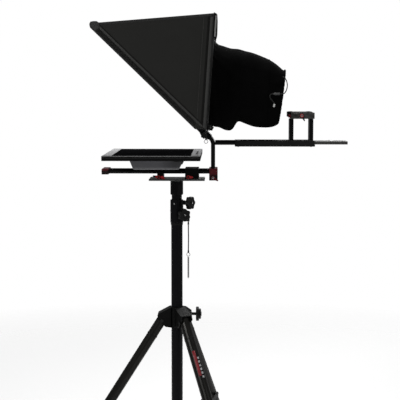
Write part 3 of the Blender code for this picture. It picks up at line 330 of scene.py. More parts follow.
def plate_grey():
    """Clear-anodised top and bottom faces; the edges are black."""
    look = Look("plate_grey", (0.30, 0.30, 0.29), 0.42, 0.25)
    brushed = look.noise(380, 3, (0.03, 1, 1))
    face = look.blend(brushed, (0.26, 0.27, 0.265), (0.54, 0.56, 0.55))
    rubbed = look.between(look.noise(14, 4), 0.45, 0.75, 0, 0.5)
    face = look.blend(rubbed, face, (0.055, 0.055, 0.055))
    upright = look.between(look.math("ABSOLUTE", look.normal()["Z"]), 0.45, 0.75)
    colour = look.blend(upright, (0.010, 0.010, 0.010), face)
    look.tree.links.new(colour, look.shader.inputs["Base Color"])
    look.vary("Roughness", look.noise(40, 3), 0.34, 0.52)
    look.relief(brushed, 0.00006)
    return look.material


def bar_grey():
    """The slide bar: grey anodised all round, with a darker worn track on its top."""
    look = Look("bar_grey", (0.07, 0.07, 0.066), 0.40, 0.6)
    brushed = look.noise(420, 3, (0.03, 1, 1))
    wear_and_shade = look.math("ADD", look.math("MULTIPLY", brushed, 0.6),
                     look.math("MULTIPLY", look.noise(12, 3), 0.4))
    look.vary("Base Color", wear_and_shade, (0.030, 0.030, 0.029), (0.105, 0.105, 0.098))
    look.vary("Roughness", look.noise(40, 3), 0.32, 0.50)
    look.relief(brushed, 0.00005)
    return look.material


def platform_grey():
    """Hard-anodised aluminium whose paint is rubbed grey where cameras slide on and off."""
    look = Look("platform_grey", (0.040, 0.040, 0.038), 0.46, 0.45)
    rubbed = look.between(look.noise(85, 4, (0.5, 1, 1), 0.65), 0.36, 0.66)
    look.vary("Base Color", rubbed, (0.012, 0.012, 0.011), (0.075, 0.075, 0.070))
    look.vary("Roughness", look.noise(60, 3), 0.36, 0.58)
    look.relief(look.noise(600, 3, (0.1, 1, 1)), 0.00006)
    return look.material


def anodised_red(name, low_red):
    """Dark red anodising that darkens to black below a height."""
    look = Look(name, (0.09, 0.006, 0.012), 0.36, 0.45)
    clouds = look.noise(130, 4)
    place = look.node("SeparateXYZ", {"Vector": look.point()}).outputs
    red = look.blend(clouds, (0.045, 0.003, 0.006), (0.200, 0.014, 0.022))
    black = look.blend(clouds, (0.003, 0.003, 0.003), (0.014, 0.008, 0.009))
    patchy = look.math("MULTIPLY", look.noise(95, 3), 0.026)
    share = look.between(look.math("ADD", place["Z"], patchy), low_red + 0.011, low_red + 0.017)
    look.tree.links.new(look.blend(share, black, red), look.shader.inputs["Base Color"])
    look.vary("Roughness", look.noise(240, 3), 0.26, 0.44)
    look.relief(look.noise(1500, 2), 0.00004)
    return look.material


def bright_steel():
    look = Look("bright_steel", (0.62, 0.62, 0.62), 0.22, 1.0)
    look.vary("Base Color", look.noise(160, 3), (0.50, 0.50, 0.50), (0.70, 0.70, 0.70))
    look.vary("Roughness", look.noise(400, 3), 0.14, 0.32)
    look.relief(look.noise(2400, 2), 0.00003)
    return look.material


def foot_rubber():
    look = Look("foot_rubber", (0.012, 0.012, 0.012), 0.85, Specular_IOR_Level=0.25)
    dusty = look.between(look.noise(45, 4), 0.45, 0.75)
    look.vary("Base Color", dusty, (0.008, 0.008, 0.008), (0.035, 0.034, 0.032))
    look.vary("Roughness", look.noise(30, 3), 0.72, 0.95)
    look.relief(look.noise(800, 3), 0.00012)
    return look.material


def housing_grey():
    """The monitor's rear housing: fine spark-eroded grain, satin, with painted shade towards its right end
    and a painted highlight along its bottom edge.
    """
    look = Look("housing_grey", (0.070, 0.070, 0.076), 0.48, Specular_IOR_Level=0.4)
    place = look.node("SeparateXYZ", {"Vector": look.point()}).outputs
    low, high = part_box("monitor_back")
    cloud = look.blend(look.noise(7, 3), (0.075, 0.075, 0.084), (0.100, 0.100, 0.112))
    # painted shade: the colour darkens towards the housing's right end
    wear_and_shade = look.blend(look.between(place["X"], high.x - 0.085, high.x - 0.030), cloud, (0.022, 0.022, 0.026))
    # painted highlight: a lighter band along the housing's bottom edge
    foot = look.between(place["Z"], low.z + 0.010, low.z + 0.002)
    look.tree.links.new(look.blend(foot, wear_and_shade, (0.170, 0.170, 0.180)), look.shader.inputs["Base Color"])
    look.vary("Roughness", look.noise(60, 3), 0.40, 0.56)
    look.relief(look.cells(1700), 0.00007)
    return look.material


def bezel_plastic():
    """Silver across the two ends, dark along the two long sides, black round the edge."""
    look = Look("bezel_plastic", (0.60, 0.60, 0.60), 0.44, Specular_IOR_Level=0.10)
    screen_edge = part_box("lcd_panel")[1].y
    place = look.node("SeparateXYZ", {"Vector": look.point()}).outputs
    beside = look.math("GREATER_THAN", look.math("ABSOLUTE", place["Y"]), screen_edge + 0.001)
    grain = look.noise(900, 2)
    silver = look.blend(grain, (0.56, 0.56, 0.57), (0.68, 0.68, 0.69))
    dark = look.blend(grain, (0.014, 0.014, 0.015), (0.024, 0.024, 0.025))
    top = look.blend(beside, silver, dark)
    upright = look.between(look.normal()["Z"], 0.45, 0.75)
    colour = look.blend(upright, (0.003, 0.003, 0.003), top)
    look.tree.links.new(colour, look.shader.inputs["Base Color"])
    look.vary("Roughness", look.noise(50, 3), 0.34, 0.48)
    look.relief(look.cells(2000), 0.00004)
    return look.material


def screen_gloss():
    look = Look("screen_gloss", (0.006, 0.006, 0.007), 0.38, Specular_IOR_Level=0.0)
    look.vary("Base Color", look.noise(3, 2), (0.0035, 0.0035, 0.0040), (0.0090, 0.0090, 0.0098))
    look.vary("Roughness", look.noise(16, 4), 0.32, 0.46)
    look.relief(look.noise(2500, 1), 0.00001)
    return look.material


def half_mirror():
    """The beam splitter: clear glass whose coating reflects about a third of the light."""
    look = Look("half_mirror", (0.86, 0.90, 0.90), 0.012, 0.30, Transmission_Weight=1.0, IOR=1.50)
    look.vary("Roughness", look.between(look.noise(18, 4), 0.5, 0.8), 0.008, 0.035)
    return look.material


def hood_cloth():
    """Coated nylon: a fine plain weave with a dull sheen and slow changes of tone."""
    look = Look("hood_cloth", (0.015, 0.015, 0.014), 0.72, Specular_IOR_Level=0.14,
                Sheen_Weight=0.04, Sheen_Roughness=0.5)
    tone = look.math("ADD", look.math("MULTIPLY", look.noise(5, 3), 0.6),
                     look.math("MULTIPLY", look.noise(420, 2), 0.4))
    look.vary("Base Color", tone, (0.0115, 0.0115, 0.0105), (0.0175, 0.0175, 0.0162))
    look.vary("Roughness", look.noise(14, 3), 0.62, 0.80)
    look.relief(look.weave(0.0009), 0.00007)
    look.relief(look.noise(34, 3), 0.0006)
    return look.material


def lining_cloth():
    look = Look("lining_cloth", (0.004, 0.004, 0.004), 0.92, Specular_IOR_Level=0.12)
    look.vary("Base Color", look.noise(30, 3), (0.0030, 0.0030, 0.0030), (0.0060, 0.0060, 0.0060))
    look.relief(look.weave(0.0007), 0.00012)
    return look.material


def sleeve_cloth():
    """Light-tight black cloth with a short nap."""
    look = Look("sleeve_cloth", (0.0020, 0.0020, 0.0020), 0.95, Specular_IOR_Level=0.02)
    nap = look.math("ADD", look.math("MULTIPLY", look.noise(22, 4), 0.7),
                    look.math("MULTIPLY", look.noise(900, 2), 0.3))
    look.vary("Base Color", nap, (0.0008, 0.0008, 0.0008), (0.0034, 0.0034, 0.0034))
    look.vary("Roughness", look.noise(40, 3), 0.82, 0.98)
    look.relief(look.noise(1600, 3), 0.00025)
    look.relief(look.noise(60, 4, (1, 1, 0.6)), 0.0016)
    return look.material


def binding_tape():
    """Ribbed webbing round the hood's edges."""
    look = Look("binding_tape", (0.020, 0.020, 0.019), 0.78, Specular_IOR_Level=0.2, Sheen_Weight=0.08)
    look.vary("Base Color", look.noise(260, 3), (0.010, 0.010, 0.010), (0.030, 0.030, 0.029))
    look.relief(look.weave(0.0021), 0.0004)
    return look.material


def loop_tape():
    """The fuzzy loop side of a hook-and-loop tape, matted by use."""
    look = Look("loop_tape", (0.010, 0.010, 0.010), 0.95, Specular_IOR_Level=0.1)
    tufts = look.between(look.noise(190, 4, (1, 1, 1), 0.75), 0.38, 0.68)
    look.vary("Base Color", tufts, (0.0030, 0.0030, 0.0030), (0.0260, 0.0260, 0.0250))
    look.relief(tufts, 0.0009)
    return look.material


def painted_shade_cloth():
    """Darker cloth that paints shade: strips laid where shade falls on the hood, beside its fold and rib and
    along its back edges.
    """
    look = Look("painted_shade_cloth", (0.006, 0.006, 0.006), 0.85, Specular_IOR_Level=0.08)
    look.vary("Base Color", look.noise(120, 3), (0.0060, 0.0060, 0.0056), (0.0100, 0.0100, 0.0094))
    look.relief(look.weave(0.0009), 0.00007)
    return look.material


def piping_cloth(name, dark, light):
    """Lighter grey cord piping along the hood's seams; the light grey of the welt cords is a painted
    highlight.
    """
    look = Look(name, light, 0.58, Specular_IOR_Level=0.25, Sheen_Weight=0.05)
    look.vary("Base Color", look.noise(240, 3), dark, light)
    look.relief(look.weave(0.0012), 0.0002)
    return look.material


def thread():
    look = Look("thread", (0.050, 0.050, 0.048), 0.7, Sheen_Weight=0.15)
    look.vary("Base Color", look.noise(900, 2), (0.030, 0.030, 0.029), (0.075, 0.075, 0.072))
    look.relief(look.ribs("Z", 0.0006), 0.0001)
    return look.material


def braided_cord():
    look = Look("braided_cord", (0.010, 0.010, 0.010), 0.82, Specular_IOR_Level=0.2, Sheen_Weight=0.1)
    look.vary("Base Color", look.noise(1100, 2), (0.0030, 0.0030, 0.0030), (0.0120, 0.0120, 0.0115))
    look.relief(look.math("MULTIPLY", look.ribs("Z", 0.0016), look.noise(1500, 1)), 0.0003)
    return look.material


def lever_paint(name, pivot, reach):
    """Red about the pivot and black from there to the tail's end."""
    look = Look(name, (0.30, 0.010, 0.014), 0.36, 0.5)
    clouds = look.noise(130, 4)
    red = look.blend(clouds, (0.36, 0.010, 0.014), (0.70, 0.040, 0.044))
    black = look.blend(clouds, (0.007, 0.007, 0.007), (0.020, 0.020, 0.020))
    away = look.node("VectorMath", {0: look.point(), 1: pivot}, operation="DISTANCE")
    share = look.between(away.outputs["Value"], reach - 0.0006, reach + 0.0006)
    look.tree.links.new(look.blend(share, red, black), look.shader.inputs["Base Color"])
    look.vary("Roughness", look.noise(240, 3), 0.28, 0.46)
    look.relief(look.noise(1500, 2), 0.00004)
    return look.material


def label_paint(name, colour):
    """Printed vinyl, slightly rubbed."""
    look = Look(name, colour, 0.38, Specular_IOR_Level=0.4)
    faded = tuple(0.55 * channel + 0.02 for channel in colour)
    look.vary("Base Color", look.between(look.noise(240, 4), 0.35, 0.75), colour, faded)
    look.vary("Roughness", look.noise(120, 3), 0.30, 0.50)
    return look.material


TUBE_PAINT = tube_paint()
LEG_PAINT = leg_paint()
ANODISED_BLACK = anodised_black()
RAIL_BLACK = rail_black()
CAST_BLACK = cast_black()
MOULDED_BLACK = moulded_black()
PAINTED_STEEL = painted_steel()
PLATE_GREY = plate_grey()
BAR_GREY = bar_grey()
PLATFORM_GREY = platform_grey()
CORNER_RED = anodised_red("corner_red", 1.1745)
CAP_RED = anodised_red("cap_red", 1.1905)
CORNER_LEVER = anodised_red("corner_lever_paint", 1.1400)
TAB_RED = anodised_red("tab_red", 1.3700)
BRIGHT_STEEL = bright_steel()
FOOT_RUBBER = foot_rubber()
HOUSING_GREY = housing_grey()
BEZEL_PLASTIC = bezel_plastic()
SCREEN_GLOSS = screen_gloss()
HALF_MIRROR = half_mirror()
HOOD_CLOTH = hood_cloth()
LINING_CLOTH = lining_cloth()
SLEEVE_CLOTH = sleeve_cloth()
BINDING_TAPE = binding_tape()
LOOP_TAPE = loop_tape()
# painted shade: darker cloth laid where shade falls on the hood
PAINTED_SHADE_CLOTH = painted_shade_cloth()
PIPING_CLOTH = piping_cloth("piping_cloth", (0.022, 0.022, 0.021), (0.040, 0.040, 0.038))
# painted highlight: the welt cords' light grey stands in for sheen along the padded roll
WELT_HIGHLIGHT_CLOTH = piping_cloth("welt_highlight_cloth", (0.150, 0.150, 0.147), (0.240, 0.240, 0.235))
CAP_CLOTH = piping_cloth("cap_cloth", (0.004, 0.004, 0.004), (0.040, 0.040, 0.039))
THREAD = thread()
BRAIDED_CORD = braided_cord()
LABEL_RED = label_paint("label_red", (0.24, 0.008, 0.015))
LABEL_WHITE = label_paint("label_white", (0.45, 0.45, 0.46))
LOCK_GREY = label_paint("lock_grey", (0.040, 0.040, 0.040))
BEZEL_LINE = label_paint("bezel_line", (0.030, 0.030, 0.030))
# painted highlight: light grey for the strip along the bezel's top edge
BEZEL_EDGE_HIGHLIGHT = label_paint("bezel_edge_highlight", (0.360, 0.360, 0.360))
AGLET_WHITE = label_paint("aglet_white", (0.62, 0.62, 0.60))

FRONT_PIVOT = at(-0.064, -0.0468, 1.169)
REAR_PIVOT = at(0.044, -0.0468, 1.169)
CORNER_PIVOT = at(0.134, -0.0468, 1.1665)
RELEASE_PIVOT = at(0.456, -0.0413, 1.393)
FRONT_LEVER = lever_paint("front_lever_paint", FRONT_PIVOT, 0.0125)
FRONT_SHOE = lever_paint("front_shoe_paint", FRONT_PIVOT, 0.0300)
REAR_LEVER = lever_paint("rear_lever_paint", REAR_PIVOT, 0.0175)
RELEASE_LEVER = lever_paint("release_lever_paint", RELEASE_PIVOT, 0.0075)

NODE_MATERIALS = (
    (TUBE_PAINT, "column_tube inner_mast mast_adapter lock_collar"),
    (LEG_PAINT, "leg_1 leg_2 leg_3"),
    (ANODISED_BLACK, "front_rod_clamp rear_rod_clamp lower_rod_near lower_rod_far post_near post_far "
                     "tilt_bracket upper_rod_near upper_rod_far monitor_bracket glass_frame "
                     "riser_front_leg riser_rear_leg camera_plate"),
    (RAIL_BLACK, "camera_rail"),
    (CAST_BLACK, "leg_hub"),
    (MOULDED_BLACK, "hub_knob spreader_collar upper_star_knob lower_star_knob tilt_knob_near "
                    "tilt_knob_far"),
    (PAINTED_STEEL, "strut_1 strut_2 strut_3 leg_pin_1 leg_pin_2 leg_pin_3"),
    (PLATE_GREY, "base_plate"),
    (BAR_GREY, "slide_bar"),
    (PLATFORM_GREY, "camera_platform"),
    (CORNER_RED, "corner_clamp"),
    (CAP_RED, "rod_end_cap"),
    (CORNER_LEVER, "corner_clamp_lever"),
    (FRONT_LEVER, "front_clamp_lever"),
    (REAR_LEVER, "rear_clamp_lever"),
    (RELEASE_LEVER, "release_lever"),
    (BRIGHT_STEEL, "camera_screw safety_pin"),
    (FOOT_RUBBER, "foot_1 foot_2 foot_3"),
    (HOUSING_GREY, "monitor_back power_button menu_rocker"),
    (BEZEL_PLASTIC, "monitor_bezel"),
    (SCREEN_GLOSS, "lcd_panel"),
    (HALF_MIRROR, "splitter_glass"),
)


def dress_nodes():
    """Give every CAD node that stays its material."""
    for material, names in NODE_MATERIALS:
        for name in names.split():
            mesh = NODES[name].data
            mesh.materials.clear()
            mesh.materials.append(material)


# ---------------------------------------------------------------- mesh tools

def keep(name, bm, materials, body, smooth_angle=40):
    """Turn a bmesh into a piece with the given materials, riding on a body if one is given."""
    mesh = bpy.data.meshes.new(name)
    bm.to_mesh(mesh)
    bm.free()
    for material in materials:
        mesh.materials.append(material)
    mesh.shade_smooth()
    mesh.set_sharp_from_angle(angle=math.radians(smooth_angle))
    piece = bpy.data.objects.new(name, mesh)
    bpy.context.scene.collection.objects.link(piece)
    if body:
        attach(piece, body)
    return piece


def modifier(piece, kind, **settings):
    made = piece.modifiers.new(kind.lower(), kind)
    for name, value in settings.items():
        setattr(made, name, value)
    return made


def frame_along(direction, up=Z_AXIS):
    """A rotation whose Z is the direction."""
    along = Vector(direction).normalized()
    side = Vector(up).cross(along)
    if side.length < 1e-4:
        side = X_AXIS.cross(along)
    side.normalize()
    return Matrix((side, along.cross(side), along)).transposed()


def add_grid(bm, point, columns, rows, closed=False, material=0):
    """Quads over point(u, v), with u and v from 0 to 1. closed joins the last column to the first."""
    across = columns if closed else columns + 1
    net = []
    for row in range(rows + 1):
        net.append([bm.verts.new(point(column / columns, row / rows)) for column in range(across)])
    for row in range(rows):
        for column in range(columns):
            following = (column + 1) % across
            face = bm.faces.new((net[row][column], net[row][following], net[row + 1][following],
                                 net[row + 1][column]))
            face.material_index = material
    return net


def add_tube(bm, points, radius, sides=8, flat=1.0, up=Z_AXIS, material=0):
    """A capped tube along points. radius is a number or a function of 0..1 along it."""
    reach = radius if callable(radius) else lambda share: radius
    rings = []
    last = len(points) - 1
    for step, centre in enumerate(points):
        ahead = points[min(step + 1, last)] - points[max(step - 1, 0)]
        turn = frame_along(ahead, up)
        size = reach(step / last)
        ring = []
        for side in range(sides):
            angle = 2 * math.pi * side / sides
            offset = Vector((size * math.cos(angle), size * flat * math.sin(angle), 0))
            ring.append(bm.verts.new(centre + turn @ offset))
        rings.append(ring)
    for ring, following in zip(rings, rings[1:]):
        for side in range(sides):
            after = (side + 1) % sides
            face = bm.faces.new((ring[side], ring[after], following[after], following[side]))
            face.material_index = material
    for ring in (rings[0][::-1], rings[-1]):
        bm.faces.new(ring).material_index = material


def add_turned(bm, profile, centre, axis, sides=24, material=0):
    """Turn (radius, height) points, listed from the axis outwards and down, about an axis."""
    turn = frame_along(axis)
    rings = []
    for radius, height in profile:
        if radius == 0:
            rings.append([bm.verts.new(centre + turn @ Vector((0, 0, height)))])
            continue
        rings.append([bm.verts.new(centre + turn @ Vector((radius * math.cos(2 * math.pi * side / sides),
                                                           radius * math.sin(2 * math.pi * side / sides),
                                                           height)))
                      for side in range(sides)])
    for ring, following in zip(rings, rings[1:]):
        for side in range(sides):
            after = (side + 1) % sides
            corners = [ring[side % len(ring)], following[side % len(following)],
                       following[after % len(following)], ring[after % len(ring)]]
            face = bm.faces.new(list(dict.fromkeys(corners)))
            face.material_index = material


def add_block(bm, low, high, bevel=0.0006, turn=None, about=None, material=0):
    """A box between two corners with rounded edges, turned about a point if asked."""
    low = Vector(low)
    high = Vector(high)
    made = bmesh.ops.create_cube(bm, size=1)["verts"]
    for vert in made:
        vert.co = Vector(((low[i] + high[i]) / 2 + vert.co[i] * (high[i] - low[i]) for i in range(3)))
    edges = list({edge for vert in made for edge in vert.link_edges})
    rounded = bmesh.ops.bevel(bm, geom=edges, offset=bevel, segments=2, affect="EDGES", profile=0.6)
    faces = {face for vert in rounded["verts"] for face in vert.link_faces}
    for face in faces:
        face.material_index = material
    if turn:
        verts = {vert for face in faces for vert in face.verts}
        bmesh.ops.rotate(bm, cent=about, matrix=turn, verts=list(verts))


def line(start, end, steps):
    return [start.lerp(end, step / steps) for step in range(steps + 1)]


def smooth_route(points, spacing):
    """A Catmull-Rom curve through the points, read about every spacing."""
    knots = [Vector(point) for point in points]
    knots = [2 * knots[0] - knots[1]] + knots + [2 * knots[-1] - knots[-2]]
    route = [knots[1]]
    for before, start, end, after in zip(knots, knots[1:], knots[2:], knots[3:]):
        steps = max(1, round((end - start).length / spacing))
        for step in range(1, steps + 1):
            t = step / steps
            route.append(0.5 * (2 * start + (end - before) * t
                                + (2 * before - 5 * start + 4 * end - after) * t ** 2
                                + (3 * start - before - 3 * end + after) * t ** 3))
    return route


def route_length(points):
    return sum((after - before).length for before, after in zip(points, points[1:]))


def add_stitches(bm, path, outward, pitch=0.0042, length=0.0030, radius=0.00035, material=0):
    """Thread stitches that sit on a surface along a path."""
    total = route_length(path)
    count = max(1, int(total / pitch))
    walked = 0.0
    targets = [(number + 0.5) * total / count for number in range(count)]
    for start, end in zip(path, path[1:]):
        span = (end - start).length
        while targets and targets[0] <= walked + span:
            centre = start.lerp(end, (targets.pop(0) - walked) / span)
            along = (end - start).normalized() * length / 2
            lift = Vector(outward) * radius * 0.6
            add_tube(bm, [centre - along, centre - along * 0.6 + lift, centre + along * 0.6 + lift,
                          centre + along], radius, 5, material=material)
        walked += span


def add_screw(bm, centre, axis, radius, material=0, socket=1):
    """A socket-cap screw head: a rounded disc with a hexagonal socket."""
    height = radius * 0.55
    add_turned(bm, [(radius * 0.46, height * 0.98), (radius * 0.84, height), (radius, height * 0.75),
                    (radius, -0.0002), (0, -0.0002)], centre, axis, 24, material)
    turn = frame_along(axis)
    top = []
    floor = []
    for side in range(24):
        angle = 2 * math.pi * side / 24
        reach = radius * 0.46 * math.cos(math.pi / 6) / math.cos((angle % (math.pi / 3)) - math.pi / 6)
        for ring, level in ((top, height * 0.98), (floor, height * 0.30)):
            ring.append(bm.verts.new(centre + turn @ Vector((reach * math.cos(angle),
                                                             reach * math.sin(angle), level))))
    for side in range(24):
        after = (side + 1) % 24
        bm.faces.new((top[side], floor[side], floor[after], top[after])).material_index = socket
    bm.faces.new(floor[::-1]).material_index = socket


# ---------------------------------------------------------------- cords

# Lanyard route: out from its reach, sideways, and height, in a frame turned to its azimuth
LANYARD_AZIMUTH = math.radians(-18)
LANYARD_REACH = 0.0452
LANYARD_RADIUS = 0.0021
LANYARD_ROUTE = (
    (0.0000, 0.0000, 1.0017), (0.0000, 0.0000, 0.9940), (0.0001, -0.0001, 0.9840),
    (0.0003, -0.0003, 0.9740), (0.0005, -0.0005, 0.9640), (0.0007, -0.0006, 0.9540),
    (0.0008, -0.0006, 0.9440), (0.0008, -0.0006, 0.9340), (0.0006, -0.0005, 0.9240),
    (0.0004, -0.0003, 0.9140), (0.0002, -0.0002, 0.9060), (0.0001, -0.0001, 0.8980),
    (0.0000, 0.0000, 0.8920), (0.0000, 0.0000, 0.8868),
)
LOWER_CRIMP = (0.8845, 0.8935)
UPPER_CRIMP = (0.9900, 0.9985)

DRAWSTRING_RADIUS = 0.0018
DRAWSTRING_ROUTE = (
    (0.3840, -0.0940, 1.5330), (0.3875, -0.0985, 1.5310), (0.3920, -0.1030, 1.5260),
    (0.3958, -0.1060, 1.5185), (0.3980, -0.1080, 1.5095), (0.3985, -0.1090, 1.5005),
    (0.3972, -0.1095, 1.4915), (0.3945, -0.1098, 1.4835), (0.3910, -0.1100, 1.4775),
    (0.3870, -0.1100, 1.4735), (0.3820, -0.1100, 1.4722), (0.3750, -0.1100, 1.4720),
    (0.3650, -0.1100, 1.4720), (0.3540, -0.1100, 1.4720), (0.3440, -0.1100, 1.4718),
    (0.3385, -0.1100, 1.4690), (0.3365, -0.1100, 1.4635), (0.3385, -0.1100, 1.4575),
    (0.3430, -0.1098, 1.4510), (0.3480, -0.1096, 1.4450), (0.3525, -0.1094, 1.4390),
    (0.3535, -0.1092, 1.4320), (0.3510, -0.1090, 1.4255),
)
AGLET_LENGTH = 0.0115


def make_cord(name, route, radius, body):
    curve = bpy.data.curves.new(name, "CURVE")
    curve.dimensions = "3D"
    curve.bevel_depth = radius
    curve.bevel_resolution = 3
    curve.use_fill_caps = True
    spline = curve.splines.new("POLY")
    spline.points.add(len(route) - 1)
    for knot, place in zip(spline.points, route):
        knot.co = (*place, 1)
    curve.materials.append(BRAIDED_CORD)
    cord = bpy.data.objects.new(name, curve)
    bpy.context.scene.collection.objects.link(cord)
    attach(cord, body)
    return cord


def lanyard_place(out, side, height):
    turned = Matrix.Rotation(LANYARD_AZIMUTH, 3, "Z") @ Vector((LANYARD_REACH + out, side, height))
    return at(*turned)


def make_lanyard():
    """The short cord that keeps the mast's safety pin, with a crimp at each end."""
    route = smooth_route([lanyard_place(*knot) for knot in LANYARD_ROUTE], 0.005)
    cord = make_cord("lanyard_cord", route, LANYARD_RADIUS, "column")
    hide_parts("lanyard")
    for name, (low, high) in (("lanyard_crimp_low", LOWER_CRIMP), ("lanyard_crimp_high", UPPER_CRIMP)):
        bm = bmesh.new()
        radius = LANYARD_RADIUS
        add_turned(bm, [(radius + 0.0001, high - low), (radius + 0.0008, high - low),
                        (radius + 0.0011, high - low - 0.001), (radius + 0.0007, (high - low) / 2),
                        (radius + 0.0011, 0.001), (radius + 0.0008, 0), (radius + 0.0001, 0)],
                   lanyard_place(0.0001, -0.0001, low), Z_AXIS, 20)
        keep(name, bm, [MOULDED_BLACK], "column")


def make_drawstring():
    """The shroud's gathering cord, its lock and its tipped tail."""
    route = smooth_route([at(*knot) for knot in DRAWSTRING_ROUTE], 0.003)
    cord = make_cord("drawstring_cord", route, DRAWSTRING_RADIUS, "hood")
    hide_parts("drawstring")

    low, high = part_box("cord_lock")
    centre = (low + high) / 2
    reach = (high.z - low.z) / 2
    bore = DRAWSTRING_RADIUS + 0.0002
    bm = bmesh.new()
    length = high.x - low.x
    barrel = [(bore, length), (reach * 0.72, length), (reach * 0.86, length - 0.0012)]
    ribs = 5
    for rib in range(ribs):
        level = length * (0.88 - 0.13 * rib)
        barrel += [(reach, level), (reach, level - 0.0018), (reach * 0.88, level - 0.0023)]
    barrel += [(reach * 0.80, 0.0052), (reach * 0.62, 0.0050)]
    add_turned(bm, barrel + [(bore, 0.0050)], Vector((low.x, centre.y, centre.z)), X_AXIS, 32)
    plunger = [(bore, 0.0050), (reach * 0.60, 0.0050), (reach * 0.60, 0.0015), (reach * 0.50, 0), (bore, 0)]
    add_turned(bm, plunger, Vector((low.x, centre.y, centre.z)), X_AXIS, 32, 1)
    lock = keep("cord_lock_body", bm, [LOCK_GREY, PAINTED_STEEL], "hood")
    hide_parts("cord_lock")

    bm = bmesh.new()
    tip = (route[-1] - route[-4]).normalized()
    sleeve = DRAWSTRING_RADIUS
    add_turned(bm, [(0, 0.0008), (sleeve * 1.1, 0.0008), (sleeve * 1.7, 0.0002), (sleeve * 1.9, -0.002),
                    (sleeve * 1.9, -AGLET_LENGTH + 0.001), (sleeve * 1.5, -AGLET_LENGTH),
                    (sleeve * 1.05, -AGLET_LENGTH)], route[-1], tip, 20)
    aglet = keep("drawstring_tip", bm, [AGLET_WHITE], "hood")


# ---------------------------------------------------------------- the hood's fabric

# The cloth's corners stand a little off the stiff shell's: forward over the slope's frame, and back
HOOD_TIP = extreme("hood_shell", (-1, -1, 0.2)) + Vector((-0.0087, 0, -0.0087))
HOOD_TOP = extreme("hood_shell", (1, -1, 1)) + Vector((0.0062, 0, -0.0042))
HOOD_HEEL = extreme("hood_shell", (1, -1, -10)) + Vector((0.0010, 0, 0.0070))
HOOD_TOE = extreme("hood_shell", (-1, -1, -3)) + Vector((-0.0094, 0, 0.0073))
CLOTH_THICKNESS = 0.0014
PANEL_CELL = 0.0055


def far_side(place):
    return Vector((place.x, -place.y, place.z))


def smooth(share):
    share = min(1.0, max(0.0, share))
    return share * share * (3 - 2 * share)


class Panel:
    """A flat cut of cloth between four corners, which swells a little from its plane."""

    def __init__(self, corners, outward, swell, seed, ripple=0.0011):
        self.corners = corners
        self.outward = Vector(outward).normalized()
        self.swell = swell
        self.ripple = ripple
        self.seed = Vector((seed, seed * 0.7, seed * 1.3))
        self.centre = sum(corners, Vector()) / len(corners)
        self.bulge = None

    def edges(self):
        return list(zip(self.corners, self.corners[1:] + self.corners[:1]))

    def place(self, point):
        """The cloth's own point above a point of its flat plane."""
        share = 1.0
        for start, end in self.edges():
            along = (end - start).normalized()
            offset = point - start
            share *= smooth((offset - along * offset.dot(along)).length / 0.07)
        wave = noise.noise(point * 7 + self.seed) + 0.45 * noise.noise(point * 21 - self.seed)
        lift = share * (self.swell + self.ripple * wave)
        if self.bulge:
            lift += self.bulge(point)
        return point + self.outward * lift

    def inset(self, first, second, depth, start_trim=0.0, end_trim=0.0, step=0.006):
        """The line beside an edge, depth into the panel, as points on the cloth."""
        along = (second - first).normalized()
        inward = self.centre - first
        inward = (inward - along * inward.dot(along)).normalized()
        start = first + along * start_trim + inward * depth
        end = second - along * end_trim + inward * depth
        return [self.place(point) for point in line(start, end, max(1, round((end - start).length / step)))]

    def fill(self, bm, us, vs, is_open=lambda point: False):
        """Quads over the panel at the given shares, without those whose middle is open."""
        a, b, c, d = self.corners
        net = [[a.lerp(d, u).lerp(b.lerp(c, u), v) for u in us] for v in vs]
        verts = {}

        def vert(row, column):
            if (row, column) not in verts:
                verts[row, column] = bm.verts.new(self.place(net[row][column]))
            return verts[row, column]

        for row in range(len(vs) - 1):
            for column in range(len(us) - 1):
                middle = (net[row][column] + net[row + 1][column + 1]) / 2
                if is_open(middle):
                    continue
                bm.faces.new((vert(row, column), vert(row, column + 1), vert(row + 1, column + 1),
                              vert(row + 1, column)))
        face_towards(bm, self.outward)

    def even_fill(self, bm):
        a, b, c, d = self.corners
        columns = round(max((d - a).length, (c - b).length) / PANEL_CELL)
        rows = round(max((b - a).length, (c - d).length) / PANEL_CELL)
        self.fill(bm, [i / columns for i in range(columns + 1)], [i / rows for i in range(rows + 1)])

    def cut_size(self):
        """Width and length of the cut's bounding rectangle, along its first edge and across it."""
        along = (self.corners[1] - self.corners[0]).normalized()
        across = self.outward.cross(along)
        spans = []
        for axis in (along, across):
            reach = [corner.dot(axis) for corner in self.corners]
            spans.append(max(reach) - min(reach))
        return spans

    def cut_area(self):
        total = Vector()
        for start, end in self.edges():
            total += (start - self.centre).cross(end - self.centre) / 2
        return total.length


def face_towards(bm, outward):
    bm.normal_update()
    if sum((face.normal for face in bm.faces), Vector()).dot(outward) < 0:
        bmesh.ops.reverse_faces(bm, faces=bm.faces)


def add_tape(bm, path, outward, width, height, material=0, edge=0.0003):
    """Tape sewn flat along a path, arched by its height, with its edges just under the surface."""
    section = ((-0.5, -edge), (-0.47, height * 0.75), (-0.25, height), (0.25, height),
               (0.47, height * 0.75), (0.5, -edge))
    rows = []
    last = len(path) - 1
    for step, centre in enumerate(path):
        along = (path[min(step + 1, last)] - path[max(step - 1, 0)]).normalized()
        across = along.cross(outward).normalized()
        rows.append([bm.verts.new(centre + across * width * side + Vector(outward) * rise)
                     for side, rise in section])
    for row, following in zip(rows, rows[1:]):
        for here, there in zip(range(len(section) - 1), range(1, len(section))):
            face = bm.faces.new((row[here], row[there], following[there], following[here]))
            face.material_index = material
    for row in (rows[0], rows[-1]):
        bm.faces.new(row).material_index = material


def sew(panel, name, hood_pieces):
    """The panel itself: cloth outside and lining inside."""
    bm = bmesh.new()
    panel.even_fill(bm)
    finish_panel(panel, name, bm, hood_pieces, HOOD_CLOTH)


